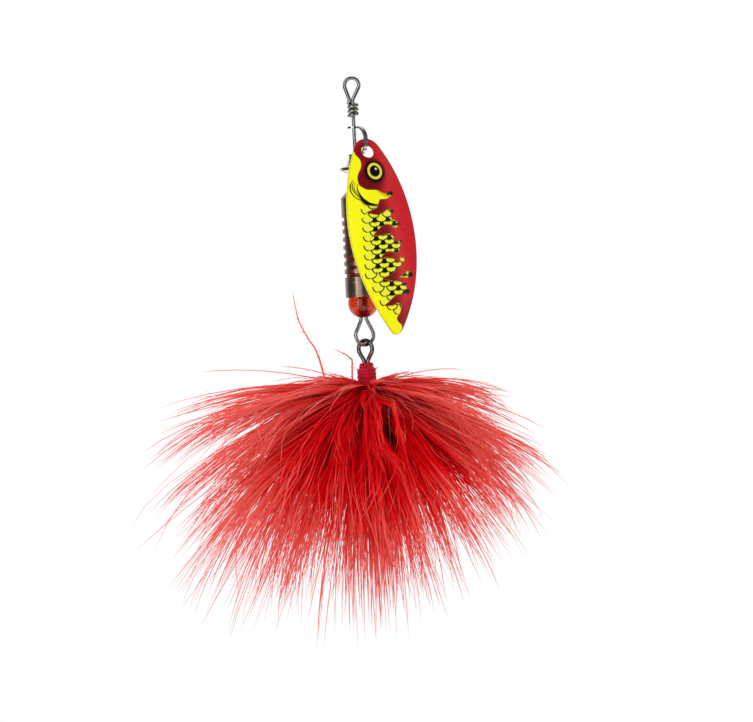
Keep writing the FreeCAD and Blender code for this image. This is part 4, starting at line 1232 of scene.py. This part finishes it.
def light_surround(scene):
    """White all round to the eye; soft for plain light; for gloss the near side of the room is dark."""
    world = bpy.data.worlds.new("surround")
    world.use_nodes = True
    tree = world.node_tree
    tree.nodes.clear()
    new, link = tree.nodes.new, tree.links.new
    towards, split = new("ShaderNodeTexCoord"), new("ShaderNodeSeparateXYZ")
    link(towards.outputs["Generated"], split.inputs[0])
    plain, gloss, white = (new("ShaderNodeBackground") for _ in range(3))
    for background in (plain, gloss, white):
        background.inputs["Color"].default_value = (1, 1, 1, 1)
    for background, change in ((plain, PLAIN_LIGHT), (gloss, GLOSS_LIGHT)):
        strength = new("ShaderNodeMapRange")
        strength.interpolation_type = "SMOOTHSTEP"
        for socket, value in zip(strength.inputs[1:5], change):
            socket.default_value = value
        link(split.outputs[1], strength.inputs[0])
        link(strength.outputs[0], background.inputs["Strength"])
    path, seen = new("ShaderNodeLightPath"), new("ShaderNodeMath")
    seen.operation = "MAXIMUM"
    link(path.outputs["Is Camera Ray"], seen.inputs[0])
    link(path.outputs["Is Transmission Ray"], seen.inputs[1])
    lit, shown = new("ShaderNodeMixShader"), new("ShaderNodeMixShader")
    for mixed, sockets in (
        (lit, (path.outputs["Is Glossy Ray"], plain.outputs[0], gloss.outputs[0])),
        (shown, (seen.outputs[0], lit.outputs[0], white.outputs[0])),
    ):
        for source, socket in zip(sockets, mixed.inputs):
            link(source, socket)
    link(shown.outputs[0], new("ShaderNodeOutputWorld").inputs["Surface"])
    scene.world = world


def lay_floor(scene):
    """Lays a round of pale paper under the plumes, clear towards its edge."""
    bm = bmesh.new()
    level = Matrix.Translation((0, 0, FLOOR_LEVEL))
    bmesh.ops.create_circle(bm, cap_ends=True, radius=FLOOR_RADIUS, segments=96, matrix=level)
    mesh = bpy.data.meshes.new("floor")
    bm.to_mesh(mesh)
    bm.free()
    floor = bpy.data.objects.new("floor", mesh)
    scene.collection.objects.link(floor)
    finish = Finish("floor_paper")
    grain = finish.noise(finish.mapping(), 300.0, 3.0)
    finish.set(Base_Color=finish.mix(grain, (0.90, 0.90, 0.90), (0.93, 0.93, 0.93)), Roughness=0.9)
    x, y, _ = finish.split(finish.place.outputs["Object"])
    finish.overlay(finish.fade(finish.length(x, y), FLOOR_SOLID, FLOOR_GONE), "ShaderNodeBsdfTransparent")
    finish.onto(floor)


OPERATORS = (
    SPINNER_OT_stage,
    SPINNER_OT_metalwork,
    SPINNER_OT_body,
    SPINNER_OT_bead,
    SPINNER_OT_blade,
    SPINNER_OT_thread,
    SPINNER_OT_plumes,
)


class SPINNER_PT_looks(bpy.types.Panel):
    """Lists the sizes, the colours and the steps that make the looks"""

    bl_label = "Inline spinner"
    bl_idname = "SPINNER_PT_looks"
    bl_space_type = "VIEW_3D"
    bl_region_type = "UI"
    bl_category = "Spinner"

    def draw(self, context):
        for group in (context.scene.spinner_sizes, context.scene.spinner_colours):
            column = self.layout.column()
            for name in group.bl_rna.properties.keys():
                if name not in ("rna_type", "name"):
                    column.prop(group, name)
        for operator in OPERATORS:
            self.layout.operator(operator.bl_idname)


CLASSES = (SpinnerSizes, SpinnerColours, *OPERATORS, SPINNER_PT_looks)


def register():
    for cls in CLASSES:
        bpy.utils.register_class(cls)
    bpy.types.Scene.spinner_sizes = PointerProperty(type=SpinnerSizes)
    bpy.types.Scene.spinner_colours = PointerProperty(type=SpinnerColours)


def unregister():
    del bpy.types.Scene.spinner_colours
    del bpy.types.Scene.spinner_sizes
    for cls in reversed(CLASSES):
        bpy.utils.unregister_class(cls)


def main():
    register()
    for operator in OPERATORS:
        area, step = operator.bl_idname.split(".")
        getattr(getattr(bpy.ops, area), step)()


if __name__ == "__main__":
    main()
